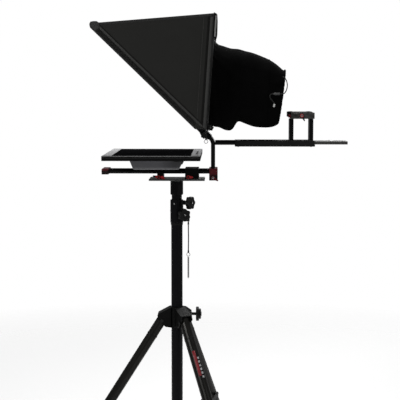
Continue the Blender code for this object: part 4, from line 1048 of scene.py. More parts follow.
def finish_panel(panel, name, bm, hood_pieces, outside, opening=0.0):
    """Cloth outside and lining inside; the cut's size and area are worked out but not kept."""
    piece = keep(name, bm, [outside, LINING_CLOTH], "hood", 60)
    modifier(piece, "SOLIDIFY", thickness=CLOTH_THICKNESS, offset=-1, material_offset=1)
    panel.cut_size()
    panel.cut_area() - opening
    hood_pieces.append(piece)


# Trims of the side panels, by how far in from their edge they run
SLOPE_BINDING = (0.0022, 0.0044, 0.0012)     # inset, width, height
LOOP_TAPE_RUN = (0.0110, 0.0125, 0.0010)
SLOPE_FOLD = (0.0225, 0.0062, 0.0016)
# painted shade: a dark tape where shade falls beside the slope's fold
SLOPE_GROOVE_SHADE = (0.0282, 0.0036, 0.0004)
TOP_BINDING = (0.0040, 0.0070, 0.0010)
# painted shade: a dark tape beside the back rib
BACK_GROOVE_SHADE = (0.0160, 0.0085, 0.0005)
BACK_RIB = (0.0064, 0.0098, 0.0040)
# the back edge's binding, in painted-shade cloth
BACK_BINDING_SHADE = (0.0024, 0.0048, 0.0010)
BACK_SEAM = 0.0340
WELT_RADIUS = 0.0017


def make_side_panel(sign, name, hood_pieces):
    """One triangular side, with its bound edges, loop tape, seams and padded back rib."""
    mirror = (lambda place: place.copy()) if sign < 0 else far_side
    tip, top, heel, toe = (mirror(corner) for corner in (HOOD_TIP, HOOD_TOP, HOOD_HEEL, HOOD_TOE))
    outward = Y_AXIS * sign
    panel = Panel([tip, toe, heel, top], outward, 0.0022, 3.1 + sign)
    sew(panel, f"hood_side_{name}", hood_pieces)

    bm = bmesh.new()
    materials = [BINDING_TAPE, LOOP_TAPE, HOOD_CLOTH, PIPING_CLOTH, THREAD, PAINTED_SHADE_CLOTH]
    slope = (tip, toe)
    back = (heel, top)
    ridge = (tip, top)
    inset, width, height = SLOPE_BINDING
    add_tape(bm, panel.inset(*slope, inset, inset), outward, width, height, 0)
    add_stitches(bm, panel.inset(*slope, inset + width * 0.36, 0.012, 0.004), outward, material=4)
    inset, width, height = LOOP_TAPE_RUN
    add_tape(bm, panel.inset(*slope, inset, 0.034, 0.012), outward, width, height, 1)
    inset, width, height = SLOPE_FOLD
    add_tape(bm, panel.inset(*slope, inset, 0.030, -0.012), outward, width, height, 3)
    add_stitches(bm, panel.inset(*slope, inset - width * 0.62, 0.034, -0.006), outward, material=4)
    # painted shade beside the slope's fold
    inset, width, height = SLOPE_GROOVE_SHADE
    add_tape(bm, panel.inset(*slope, inset, 0.036, -0.012), outward, width, height, 5)
    inset, width, height = TOP_BINDING
    add_tape(bm, panel.inset(*ridge, inset, 0.012, 0.001), outward, width, height, 0)
    add_stitches(bm, panel.inset(*ridge, inset + width * 0.36, 0.020, 0.003), outward, material=4)
    # painted shade beside the back rib
    inset, width, height = BACK_GROOVE_SHADE
    add_tape(bm, panel.inset(*back, inset, 0.008, 0.011), outward, width, height, 5)
    inset, width, height = BACK_RIB
    add_tape(bm, panel.inset(*back, inset, 0.002, 0.011), outward, width, height, 3)
    add_stitches(bm, panel.inset(*back, inset + width * 0.58, 0.004, 0.013), outward, material=4)
    # the back edge's binding, coloured as painted shade
    inset, width, height = BACK_BINDING_SHADE
    add_tape(bm, panel.inset(*back, inset, 0.000, 0.003), outward, width, height, 5)
    add_stitches(bm, panel.inset(*back, BACK_SEAM, 0.030, 0.010), outward, material=4)
    for start, end in (slope, ridge, back):
        add_tube(bm, line(start, end, 60), WELT_RADIUS, 10, material=0)
    add_tube(bm, line(toe, heel, 6), WELT_RADIUS, 10, material=0)
    trims = keep(f"hood_trims_{name}", bm, materials, "hood", 50)
    hood_pieces.append(trims)
    make_tip_cap(sign, name, hood_pieces)


# The stiffened cap on the hood's sharp front corner: x and z from the corner
TIP_CAP = ((0.0080, 0.0018), (0.0121, 0.0078), (0.0232, 0.0098), (0.0340, 0.0098), (0.0450, 0.0030),
           (0.0430, -0.0140), (0.0305, -0.0250), (0.0177, -0.0165))
TIP_CUT = 0.0100                    # cloth in front of this is turned in under the cap


def make_tip_cap(sign, name, hood_pieces):
    """A moulded cap that blunts the corner, with a raised lip along its top."""
    bm = bmesh.new()
    outer = HOOD_TIP.y * -sign + sign * 0.0038
    inner = HOOD_TIP.y * -sign - sign * 0.0160
    rings = []
    for y, grow in ((outer - sign * 0.0016, 1.0), (outer, 0.86), (inner, 0.86)):
        centre = Vector((0.0270, 0, -0.0060))
        ring = []
        for x, z in TIP_CAP:
            offset = centre + (Vector((x, 0, z)) - centre) * grow
            ring.append(bm.verts.new(Vector((HOOD_TIP.x + offset.x, y, HOOD_TIP.z + offset.z))))
        rings.append(ring)
    rings = [rings[1], rings[0], rings[2]]
    count = len(TIP_CAP)
    for ring, following in zip(rings, rings[1:]):
        for side in range(count):
            after = (side + 1) % count
            bm.faces.new((ring[side], ring[after], following[after], following[side]))
    bm.faces.new(rings[0])
    bm.faces.new(rings[-1])
    bmesh.ops.recalc_face_normals(bm, faces=bm.faces)
    cap = keep(f"hood_tip_{name}", bm, [CAP_CLOTH], "hood", 35)
    modifier(cap, "BEVEL", width=0.0010, segments=3, limit_method="ANGLE")
    hood_pieces.append(cap)


def blunt_tip(pieces):
    """Turn in the cloth that would stand in front of the corner caps."""
    for piece in pieces:
        for vert in piece.data.vertices:
            beyond = HOOD_TIP.x + TIP_CUT - vert.co.x
            if beyond > 0:
                vert.co.x += beyond * 0.9


def make_top_panel(hood_pieces):
    """The roof between the two ridges; it hangs a few millimetres in its middle."""
    corners = [HOOD_TIP, HOOD_TOP, far_side(HOOD_TOP), far_side(HOOD_TIP)]
    outward = (HOOD_TOP - HOOD_TIP).cross(Y_AXIS).normalized()
    outward *= 1 if outward.z > 0 else -1
    panel = Panel(corners, outward, -0.0045, 8.4, 0.0016)
    sew(panel, "hood_roof", hood_pieces)
    bm = bmesh.new()
    front = (HOOD_TIP, far_side(HOOD_TIP))
    add_tape(bm, panel.inset(*front, 0.0060, 0.002, 0.002), outward, 0.0110, 0.0011, 0)
    add_stitches(bm, panel.inset(*front, 0.0102, 0.004, 0.004), outward, material=2)
    for ridge in ((HOOD_TIP, HOOD_TOP), (far_side(HOOD_TIP), far_side(HOOD_TOP))):
        add_tape(bm, panel.inset(*ridge, 0.0048, 0.004, 0.004), outward, 0.0085, 0.0011, 0)
        add_stitches(bm, panel.inset(*ridge, 0.0086, 0.006, 0.006), outward, material=2)
    rear = (HOOD_TOP, far_side(HOOD_TOP))
    add_tape(bm, panel.inset(*rear, 0.0060, 0.002, 0.002), outward, 0.0110, 0.0011, 0)
    add_stitches(bm, panel.inset(*rear, 0.0102, 0.004, 0.004), outward, material=2)
    middle = ((HOOD_TIP + far_side(HOOD_TIP)) / 2, (HOOD_TOP + far_side(HOOD_TOP)) / 2)
    add_tape(bm, panel.inset(*middle, 0.0, 0.011, 0.011), outward, 0.0110, 0.0008, 1)
    for side in (-0.0042, 0.0042):
        seam = [point + Y_AXIS * side for point in panel.inset(*middle, 0.0, 0.011, 0.011)]
        add_stitches(bm, seam, outward, material=2)
    add_tube(bm, line(*front, 60), WELT_RADIUS, 10, material=0)
    add_tube(bm, line(*rear, 60), WELT_RADIUS, 10, material=0)
    trims = keep("hood_roof_trims", bm, [BINDING_TAPE, HOOD_CLOTH, THREAD], "hood", 50)
    hood_pieces.append(trims)


# The lens opening in the hood's back, and the padded roll above it
OPENING_HALF_WIDTH = 0.115
OPENING_LOW = 1.385
OPENING_HIGH = 1.640
ROLL_HEIGHT = 1.712
ROLL_HALF = 0.0395
ROLL_DEPTH = 0.0125


def roll(point):
    """How far the padded roll stands behind the back panel's plane."""
    rise = max(0.0, 1 - ((point.z - ROLL_HEIGHT) / ROLL_HALF) ** 6) ** 0.5
    side = smooth((abs(HOOD_TOP.y) - abs(point.y)) / 0.0045)
    return ROLL_DEPTH * rise * side


def spaced(marks, step):
    """Numbers from the first mark to the last that include every mark."""
    values = [marks[0]]
    for start, end in zip(marks, marks[1:]):
        count = max(1, round(abs(end - start) / step))
        values += [start + (end - start) * i / count for i in range(1, count + 1)]
    return values


def make_back_panel(hood_pieces):
    """The back, with a bound opening for the lens and a padded roll above it."""
    corners = [HOOD_HEEL, HOOD_TOP, far_side(HOOD_TOP), far_side(HOOD_HEEL)]
    upright = (HOOD_TOP - HOOD_HEEL).normalized()
    outward = Y_AXIS.cross(upright)
    outward *= 1 if outward.x > 0 else -1
    panel = Panel(corners, outward, 0.0018, 5.2)
    panel.bulge = roll
    half = abs(HOOD_TOP.y)
    height = HOOD_TOP.z - HOOD_HEEL.z
    across = spaced([-half, -half + 0.0045, -OPENING_HALF_WIDTH, OPENING_HALF_WIDTH, half - 0.0045, half],
                    PANEL_CELL)
    upward = spaced([HOOD_HEEL.z, OPENING_LOW, OPENING_HIGH, ROLL_HEIGHT - ROLL_HALF,
                     ROLL_HEIGHT + ROLL_HALF, HOOD_TOP.z], PANEL_CELL * 0.7)

    def is_open(point):
        return abs(point.y) < OPENING_HALF_WIDTH and OPENING_LOW < point.z < OPENING_HIGH

    bm = bmesh.new()
    panel.fill(bm, [(y + half) / (2 * half) for y in across],
               [(z - HOOD_HEEL.z) / height for z in upward], is_open)
    opening = 2 * OPENING_HALF_WIDTH * (OPENING_HIGH - OPENING_LOW)
    finish_panel(panel, "hood_back", bm, hood_pieces, SLEEVE_CLOTH, opening)

    bm = bmesh.new()
    slant = (HOOD_TOP.x - HOOD_HEEL.x) / height

    def on_back(y, z):
        return panel.place(Vector((HOOD_HEEL.x + slant * (z - HOOD_HEEL.z), y, z)))

    corner_radius = 0.018
    loop = []
    for y_sign, z_mark, turn in ((1, OPENING_HIGH, 0), (-1, OPENING_HIGH, 90),
                                 (-1, OPENING_LOW, 180), (1, OPENING_LOW, 270)):
        z_sign = 1 if z_mark == OPENING_HIGH else -1
        for step in range(7):
            angle = math.radians(turn + 15 * step)
            loop.append(on_back(y_sign * (OPENING_HALF_WIDTH - corner_radius + 0.004)
                                + corner_radius * math.cos(angle),
                                z_mark - z_sign * (corner_radius - 0.004) + corner_radius * math.sin(angle)))
    loop.append(loop[0])
    dense = []
    for start, end in zip(loop, loop[1:]):
        dense += line(start, end, max(1, round((end - start).length / 0.006)))[:-1]
    dense.append(loop[-1])
    add_tape(bm, dense, outward, 0.0140, 0.0016, 0)
    for edge_z, depth in ((HOOD_HEEL.z + 0.006, 0.0011), (HOOD_TOP.z - 0.005, 0.0011)):
        run = [on_back(y, edge_z) for y in spaced([-half + 0.003, half - 0.003], 0.008)]
        add_tape(bm, run, outward, 0.0090, depth, 0)
        add_stitches(bm, [p + upright * 0.0032 for p in run], outward, material=2)
    for sign in (-1, 1):
        edge = [on_back(sign * (half - 0.0052), z) for z in spaced([HOOD_HEEL.z + 0.004, 1.660], 0.006)]
        # painted shade: these tapes down the back's sides are in painted-shade cloth
        add_tape(bm, edge, outward, 0.0090, 0.0012, 3)
        add_stitches(bm, [p - Y_AXIS * sign * 0.0034 for p in edge], outward, material=2)
        # painted highlight: light grey welt cords where the padded roll meets the sides
        welt = []
        for z in spaced([1.670, 1.742], 0.003):
            seam_x = HOOD_HEEL.x + slant * (z - HOOD_HEEL.z)
            welt.append(Vector((seam_x, sign * (half - 0.0012), z)) + outward * 0.0082)
        add_tube(bm, welt, 0.0027, 12, material=1)
    trims = keep("hood_back_trims", bm, [BINDING_TAPE, WELT_HIGHLIGHT_CLOTH, THREAD, PAINTED_SHADE_CLOTH], "hood", 50)
    hood_pieces.append(trims)


def make_hood_hardware():
    """A webbing pull with its split ring, and a moulded clip, at each lower back corner."""
    for sign, name in ((-1, "near"), (1, "far")):
        bm = bmesh.new()
        y = HOOD_HEEL.y * -sign
        pull_x = HOOD_HEEL.x - 0.0004
        face = Y_AXIS * sign
        start = Vector((pull_x - 0.003, y + sign * 0.0012, HOOD_HEEL.z + 0.010))
        bend = Vector((pull_x, y + sign * 0.0016, HOOD_HEEL.z - 0.012))
        end = Vector((pull_x, y + sign * 0.0010, HOOD_HEEL.z - 0.0385))
        strap = smooth_route([start, bend, end], 0.002)
        add_tape(bm, strap, face, 0.0062, 0.0013, 0, 0.0006)
        add_stitches(bm, strap[:8], face, material=2)
        centre = end + Vector((0, 0, -0.0052))
        ring = [centre + Vector((0.0062 * math.cos(a), 0, 0.0062 * math.sin(a)))
                for a in (2 * math.pi * i / 40 for i in range(41))]
        add_tube(bm, ring, 0.0011, 10, up=Y_AXIS, material=1)
        keep(f"hood_pull_{name}", bm, [BINDING_TAPE, BRIGHT_STEEL, THREAD], "hood", 50)

        bm = bmesh.new()
        place = Vector((HOOD_HEEL.x + 0.0155, y - sign * 0.006, HOOD_HEEL.z + 0.004))
        lobes = 6
        rings = []
        for radius_share, level in ((0.0, 0.0052), (0.55, 0.0052), (0.60, 0.0042), (0.92, 0.0042),
                                    (1.0, 0.0030), (1.0, -0.0030), (0.92, -0.0042), (0.0, -0.0042)):
            ring = []
            for side in range(48):
                angle = 2 * math.pi * side / 48
                lobe = 0.0102 + (0.0012 * math.cos(lobes * angle) if radius_share > 0.65 else 0)
                reach = lobe * radius_share
                ring.append(bm.verts.new(place + Vector((reach * math.cos(angle), sign * level,
                                                         reach * math.sin(angle)))))
            rings.append(ring)
        for ring, following in zip(rings, rings[1:]):
            for side in range(48):
                after = (side + 1) % 48
                bm.faces.new((ring[side], ring[after], following[after], following[side]))
        bmesh.ops.remove_doubles(bm, verts=bm.verts, dist=1e-6)
        bmesh.ops.recalc_face_normals(bm, faces=bm.faces)
        add_screw(bm, place + face * 0.0052, face, 0.0030, 1, 1)
        add_tube(bm, [place + Vector((-0.004, 0, 0.002)), Vector((HOOD_HEEL.x - 0.001, place.y,
                                                                 HOOD_HEEL.z + 0.022))], 0.0034, 12)
        keep(f"hood_clip_{name}", bm, [MOULDED_BLACK, LOCK_GREY], "hood", 35)


def make_hood():
    hood_pieces = []
    make_side_panel(-1, "near", hood_pieces)
    make_side_panel(1, "far", hood_pieces)
    make_top_panel(hood_pieces)
    make_back_panel(hood_pieces)
    blunt_tip(hood_pieces)
    make_hood_hardware()
    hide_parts("hood_shell")


# ---------------------------------------------------------------- the lens shroud

# Each section: x and z of its lowest and of its highest point, and its half width
SHROUD_ROOT = (1.362, 1.668, 0.152)
SHROUD_SECTIONS = (
    (0.138, 1.3565, 0.138, 1.6630, 0.151),
    (0.156, 1.3505, 0.152, 1.6550, 0.147),
    (0.181, 1.3440, 0.176, 1.6470, 0.141),
    (0.203, 1.3450, 0.206, 1.6405, 0.135),
    (0.222, 1.3745, 0.234, 1.6340, 0.128),
    (0.248, 1.3680, 0.262, 1.6280, 0.120),
    (0.286, 1.3565, 0.298, 1.6160, 0.111),
    (0.320, 1.3515, 0.336, 1.6000, 0.104),
    (0.350, 1.3560, 0.370, 1.5770, 0.096),
    (0.368, 1.3640, 0.393, 1.5570, 0.091),
)
SHROUD_SQUARENESS = 0.72
SHROUD_STAND_OFF = 0.0026
SHROUD_SIDES = 132
SHROUD_ROWS = 66
SHROUD_SLACK = 0.035
SHROUD_FRAMES = 20
SHROUD_CAP = 0.0042
SHROUD_CLOTH = 0.0016


def hood_back_x(z):
    share = (z - HOOD_HEEL.z) / (HOOD_TOP.z - HOOD_HEEL.z)
    return HOOD_HEEL.x + (HOOD_TOP.x - HOOD_HEEL.x) * share


def shroud_sections():
    low, high, half = SHROUD_ROOT
    first = (hood_back_x(low) - COLUMN_X, low, hood_back_x(high) - COLUMN_X, high, half)
    return [first, *SHROUD_SECTIONS]


def section_point(section, angle):
    """A point of a rounded, slightly tilted section."""
    low_x, low_z, high_x, high_z, half_width = section
    side = math.copysign(abs(math.cos(angle)) ** SHROUD_SQUARENESS, math.cos(angle))
    rise = math.copysign(abs(math.sin(angle)) ** SHROUD_SQUARENESS, math.sin(angle))
    share = (rise + 1) / 2
    return at(low_x + (high_x - low_x) * share + SHROUD_STAND_OFF, -side * half_width,
              low_z + (high_z - low_z) * share)


def between_sections(share):
    """A section at a share of the way along the shroud, with no corner at the given ones."""
    sections = shroud_sections()
    reach = share * (len(sections) - 1)
    index = min(int(reach), len(sections) - 2)
    part = reach - index
    before, start, end, after = (sections[min(max(index + shift, 0), len(sections) - 1)]
                                 for shift in (-1, 0, 1, 2))
    return [0.5 * (2 * s + (e - b) * part + (2 * b - 5 * s + 4 * e - a) * part ** 2
                   + (3 * s - b - 3 * e + a) * part ** 3)
            for b, s, e, a in zip(before, start, end, after)]


def fold(share, angle, outward):
    """Shallow folds that run round the sleeve, and the pull of its drawn end."""
    held = smooth(share / 0.10) * smooth((1 - share) / 0.06)
    place = Vector((share * 7.0, math.cos(angle) * 1.3, math.sin(angle) * 1.3))
    rings = math.sin(share * 31 + 1.9 * math.sin(angle * 2 + 0.6)) * 0.0011
    puckers = 0.0007 * math.cos(angle * 38) * smooth((share - 0.86) / 0.12)
    return outward * (held * (rings + 0.0026 * noise.noise(place)) + puckers)


def simulate(piece, held, frames, cap, slack):
    """Let the cloth fall and crease between the points that are held, and keep the result."""
    group = piece.vertex_groups.new(name="held")
    group.add(held, 1.0, "REPLACE")
    cloth = piece.modifiers.new("cloth", "CLOTH")
    cloth.settings.vertex_group_mass = "held"
    cloth.settings.quality = 5
    cloth.settings.mass = 0.25
    cloth.settings.tension_stiffness = 18
    cloth.settings.compression_stiffness = 12
    cloth.settings.shear_stiffness = 5
    cloth.settings.bending_stiffness = 0.6
    cloth.settings.shrink_min = -slack
    cloth.point_cache.frame_start = 1
    cloth.point_cache.frame_end = frames
    scene = bpy.context.scene
    for number in range(1, frames + 1):
        scene.frame_set(number)
    result = piece.evaluated_get(bpy.context.evaluated_depsgraph_get()).data
    moved = [vert.co.copy() for vert in result.vertices]
    piece.modifiers.remove(cloth)
    scene.frame_set(1)
    for vert, place in zip(piece.data.vertices, moved):
        step = place - vert.co
        if step.length > cap:
            step *= cap / step.length
        vert.co += step


def make_shroud():
    """The black sleeve between the hood and the camera's lens, sewn to the hood's back."""
    bm = bmesh.new()
    shares = [row / SHROUD_ROWS for row in range(SHROUD_ROWS + 1)]
    axis = {share: between_sections(share) for share in shares}

    def point(u, v):
        angle = 2 * math.pi * u
        section = axis[v]
        place = section_point(section, angle)
        centre = (section_point(section, math.pi / 2) + section_point(section, -math.pi / 2)) / 2
        return place + fold(v, angle, (place - centre).normalized())

    net = add_grid(bm, point, SHROUD_SIDES, SHROUD_ROWS, closed=True)
    bm.verts.index_update()
    held = [vert.index for row in (*net[:2], net[-1]) for vert in row]
    bmesh.ops.recalc_face_normals(bm, faces=bm.faces)
    shroud = keep("shroud_cloth", bm, [SLEEVE_CLOTH], "hood", 80)
    simulate(shroud, held, SHROUD_FRAMES, SHROUD_CAP, SHROUD_SLACK)
    modifier(shroud, "SUBSURF", levels=1, render_levels=1)
    modifier(shroud, "SOLIDIFY", thickness=SHROUD_CLOTH, offset=-1)
    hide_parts("lens_shroud")

    trims = [make_shroud_hem(), make_shroud_root(), make_shroud_seam(shroud)]


def make_shroud_hem():
    """The rolled end that the drawstring runs in, puckered where the cord draws it in."""
    end = shroud_sections()[-1]
    bm = bmesh.new()
    steps = 300
    rings = []
    for step in range(steps):
        angle = 2 * math.pi * step / steps
        centre = section_point(end, angle)
        ahead = section_point(end, angle + 0.01) - section_point(end, angle - 0.01)
        turn = frame_along(ahead, X_AXIS)
        pucker = 0.5 * math.cos(38 * angle) + 0.5 * noise.noise(centre * 160)
        size = 0.0031 + 0.0007 * pucker
        ring = []
        for side in range(12):
            around = 2 * math.pi * side / 12
            offset = Vector((size * math.cos(around), size * 0.62 * math.sin(around), 0))
            ring.append(bm.verts.new(centre + turn @ offset + X_AXIS * 0.0004 * pucker))
        rings.append(ring)
    for ring, following in zip(rings, rings[1:] + rings[:1]):
        for side in range(12):
            after = (side + 1) % 12
            bm.faces.new((ring[side], ring[after], following[after], following[side]))
    hem = keep("shroud_hem", bm, [SLEEVE_CLOTH], "hood", 60)
    return hem


def make_shroud_root():
    """The tape that joins the sleeve to the hood's back."""
    first = shroud_sections()[0]
    bm = bmesh.new()
    ring = [section_point(first, 2 * math.pi * step / 200) + X_AXIS * 0.0012 for step in range(201)]
    centre = sum(ring[:-1], Vector()) / 200
    outer = [place + (place - centre).normalized() * 0.0042 for place in ring]
    add_tape(bm, outer, X_AXIS, 0.0080, 0.0016, 0, 0.0016)
    add_stitches(bm, [place + X_AXIS * 0.0012 + (place - centre).normalized() * 0.0020 for place in outer],
                 X_AXIS, material=1)
    root = keep("shroud_root", bm, [BINDING_TAPE, THREAD], "hood", 50)
    return root


def make_shroud_seam(shroud):
    """A lapped seam along the sleeve's underside, and a raised band round it near its end."""
    verts = shroud.data.vertices
    column = round(SHROUD_SIDES * 0.75)
    path = [verts[row * SHROUD_SIDES + column].co.copy() for row in range(2, SHROUD_ROWS)]
    bm = bmesh.new()
    add_tape(bm, path, -Z_AXIS, 0.0080, 0.0010, 0, 0.0008)
    for side in (-0.0030, 0.0030):
        add_stitches(bm, [place + Y_AXIS * side for place in path], -Z_AXIS, material=1)
    row = round(SHROUD_ROWS * 0.80)
    ring = [verts[row * SHROUD_SIDES + side % SHROUD_SIDES].co.copy() for side in range(SHROUD_SIDES + 1)]
    centre = sum(ring[:-1], Vector()) / SHROUD_SIDES
    lifted = [place + (place - centre).normalized() * 0.0002 for place in ring]
    rows = []
    for place in lifted:
        out = (place - centre).normalized()
        rows.append([bm.verts.new(place + X_AXIS * shift + out * rise)
                     for shift, rise in ((-0.0020, -0.0006), (-0.0008, 0.0010), (0.0008, 0.0010),
                                         (0.0020, -0.0006))])
    for here, there in zip(rows, rows[1:]):
        for index in range(3):
            bm.faces.new((here[index], here[index + 1], there[index + 1], there[index])).material_index = 0
    seam = keep("shroud_seam", bm, [SLEEVE_CLOTH, THREAD], "hood", 60)
    return seam


# ---------------------------------------------------------------- small fittings

LEG_ANGLE = math.radians(32.3)
LEG_AZIMUTHS = (182.5, -57.5, 62.5)
LEG_PIVOT = (0.0565, 0.631)
LEG_RADIUS = 0.019
STRUT_INNER = (0.0270, 0.140)
STRUT_OUTER = (0.2809, 0.276)
STRUT_HALF = 0.0235


def leg_direction(azimuth):
    outward = Vector((math.cos(azimuth), math.sin(azimuth), 0))
    return outward * math.sin(LEG_ANGLE) - Z_AXIS * math.cos(LEG_ANGLE)


def around_column(azimuth, radius, height, side=0.0):
    outward = Vector((math.cos(azimuth), math.sin(azimuth), 0))
    return at(0, 0, height) + outward * radius + Z_AXIS.cross(outward) * side


def make_leg_fittings():
    """On each leg: its moulded sleeve and trim rings, the strut's rivets, and the foot's ribs."""
    for number, degrees in enumerate(LEG_AZIMUTHS, 1):
        azimuth = math.radians(degrees)
        axis = leg_direction(azimuth)
        pivot = around_column(azimuth, *LEG_PIVOT)
        bm = bmesh.new()
        for start, end, thickness in ((0.548, 0.612, 0.0016), (0.0645, 0.0705, 0.0010),
                                      (0.4290, 0.4430, 0.0013)):
            radius = LEG_RADIUS + thickness
            inner = LEG_RADIUS - 0.0002
            add_turned(bm, [(inner, end), (radius - 0.0006, end), (radius, end - 0.0006),
                            (radius, start + 0.0006), (radius - 0.0006, start), (inner, start)],
                       pivot, axis, 48)
        side = Z_AXIS.cross(Vector((math.cos(azimuth), math.sin(azimuth), 0)))
        keep(f"leg_sleeve_{number}", bm, [MOULDED_BLACK], f"leg_{number}", 35)

        bm = bmesh.new()
        for radius, height in (STRUT_INNER, STRUT_OUTER):
            for sign in (-1, 1):
                centre = around_column(azimuth, radius, height, sign * STRUT_HALF)
                add_turned(bm, [(0, 0.0024), (0.0022, 0.0022), (0.0042, 0.0014), (0.0050, 0.0002),
                                (0.0050, -0.0004)], centre, side * sign, 28)
        keep(f"strut_rivets_{number}", bm, [PAINTED_STEEL], f"strut_{number}", 40)

        bm = bmesh.new()
        foot_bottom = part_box(f"foot_{number}")[0].z
        tip = pivot + axis * ((pivot.z - foot_bottom - 0.026) / math.cos(LEG_ANGLE))
        for back in (0.012, 0.020, 0.028, 0.036):
            centre = tip - axis * back
            add_turned(bm, [(0.0228, 0.0012), (0.0237, 0.0006), (0.0237, -0.0006), (0.0228, -0.0012)],
                       centre, -axis, 48)
        keep(f"foot_ribs_{number}", bm, [FOOT_RUBBER], f"leg_{number}", 40)


def make_leg_label():
    """A plain striped label, with no lettering, wrapped part way round the near right leg."""
    azimuth = math.radians(LEG_AZIMUTHS[1])
    axis = leg_direction(azimuth)
    pivot = around_column(azimuth, *LEG_PIVOT)
    facing = Vector((-0.25, -1, 0.25))
    facing = (facing - axis * facing.dot(axis)).normalized()
    across = axis.cross(facing)
    bm = bmesh.new()

    def patch(start, end, first, last, lift, material):
        def point(u, v):
            angle = math.radians(first + (last - first) * u)
            reach = LEG_RADIUS + lift
            return (pivot + axis * (start + (end - start) * v)
                    + (facing * math.cos(angle) + across * math.sin(angle)) * reach)
        add_grid(bm, point, 10, 4, material=material)

    patch(0.117, 0.212, -32, 0, 0.00025, 0)
    for number in range(6):
        start = 0.142 + 0.0142 * number
        patch(start, start + 0.0075, -58, -37, 0.00025, 1)
    bmesh.ops.recalc_face_normals(bm, faces=bm.faces)
    label = keep("leg_label", bm, [LABEL_RED, LABEL_WHITE], "leg_2", 60)
    modifier(label, "SOLIDIFY", thickness=0.0003, offset=-1)


def make_column_fittings():
    """Trim rings on the column, and the lock collar's grub screws."""
    bm = bmesh.new()
    radius = 0.0210
    for low, high, thickness in ((0.118, 0.1235, 0.0016), (0.157, 0.162, 0.0010), (0.9880, 0.9955, 0.0016)):
        outer = radius + thickness
        add_turned(bm, [(radius - 0.0002, high), (outer - 0.0005, high), (outer, high - 0.0005),
                        (outer, low + 0.0005), (outer - 0.0005, low), (radius - 0.0002, low)],
                   at(0, 0, 0), Z_AXIS, 64)
    keep("column_rings", bm, [MOULDED_BLACK], "column", 35)
    bm = bmesh.new()
    for degrees, height, reach in ((200, 1.040, 0.0238), (250, 1.068, 0.0238), (20, 1.068, 0.0238)):
        azimuth = math.radians(degrees)
        outward = Vector((math.cos(azimuth), math.sin(azimuth), 0))
        add_screw(bm, at(0, 0, height) + outward * reach, outward, 0.0030)
    keep("collar_screws", bm, [BRIGHT_STEEL, MOULDED_BLACK], "column", 35)


def make_knob_caps():
    """A turned cap and bright stud on each of the collar's star knobs and on the hub's knob."""
    for body, azimuth, radius, height, size in (("upper_knob", -30, 0.0655, 1.072, 0.0085),
                                                ("lower_knob", -60, 0.0655, 1.030, 0.0080)):
        turn = math.radians(azimuth)
        outward = Vector((math.cos(turn), math.sin(turn), 0))
        bm = bmesh.new()
        add_turned(bm, [(0, 0.0030), (size * 0.45, 0.0029), (size * 0.55, 0.0020), (size * 0.90, 0.0018),
                        (size, 0.0006), (size, -0.0004)], around_column(turn, radius, height), outward, 32)
        add_turned(bm, [(0, 0.0042), (size * 0.26, 0.0040), (size * 0.34, 0.0030)],
                   around_column(turn, radius, height), outward, 24, 1)
        stud = [around_column(turn, reach, height) for reach in (0.0365, 0.0500)]
        add_tube(bm, stud, 0.0042, 18, material=1)
        keep(f"{body}_cap", bm, [MOULDED_BLACK, BRIGHT_STEEL], body, 35)
    bm = bmesh.new()
    centre = at(0.0897, 0, 0.653)
    add_turned(bm, [(0, 0.0020), (0.0072, 0.0018), (0.0086, 0.0006), (0.0086, -0.0004)], centre, X_AXIS, 32)
    add_tube(bm, [at(0.0495, 0, 0.653), at(0.0540, 0, 0.653)], 0.0056, 20, material=1)
    keep("hub_knob_cap", bm, [MOULDED_BLACK, BRIGHT_STEEL], "hub_knob", 35)


def make_lever_screws():
    """The screw that each clamping lever turns about."""
    for name, body, pivot, radius, metal in (
            ("front", "front_lever", FRONT_PIVOT, 0.0024, PAINTED_STEEL),
            ("rear", "rear_lever", REAR_PIVOT, 0.0024, PAINTED_STEEL),
            ("corner", "corner_lever", CORNER_PIVOT, 0.0026, BRIGHT_STEEL),
            ("release", "release_lever", RELEASE_PIVOT, 0.0026, BRIGHT_STEEL)):
        node = "release_lever" if name == "release" else f"{name}_clamp_lever"
        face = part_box(node)[0].y
        bm = bmesh.new()
        add_screw(bm, Vector((pivot.x, face, pivot.z)), -Y_AXIS, radius)
        add_turned(bm, [(radius + 0.0004, 0.0004), (radius + 0.0016, 0.0004), (radius + 0.0018, -0.0002)],
                   Vector((pivot.x, face, pivot.z)), -Y_AXIS, 32)
        keep(f"{name}_lever_screw", bm, [metal, MOULDED_BLACK], body, 35)


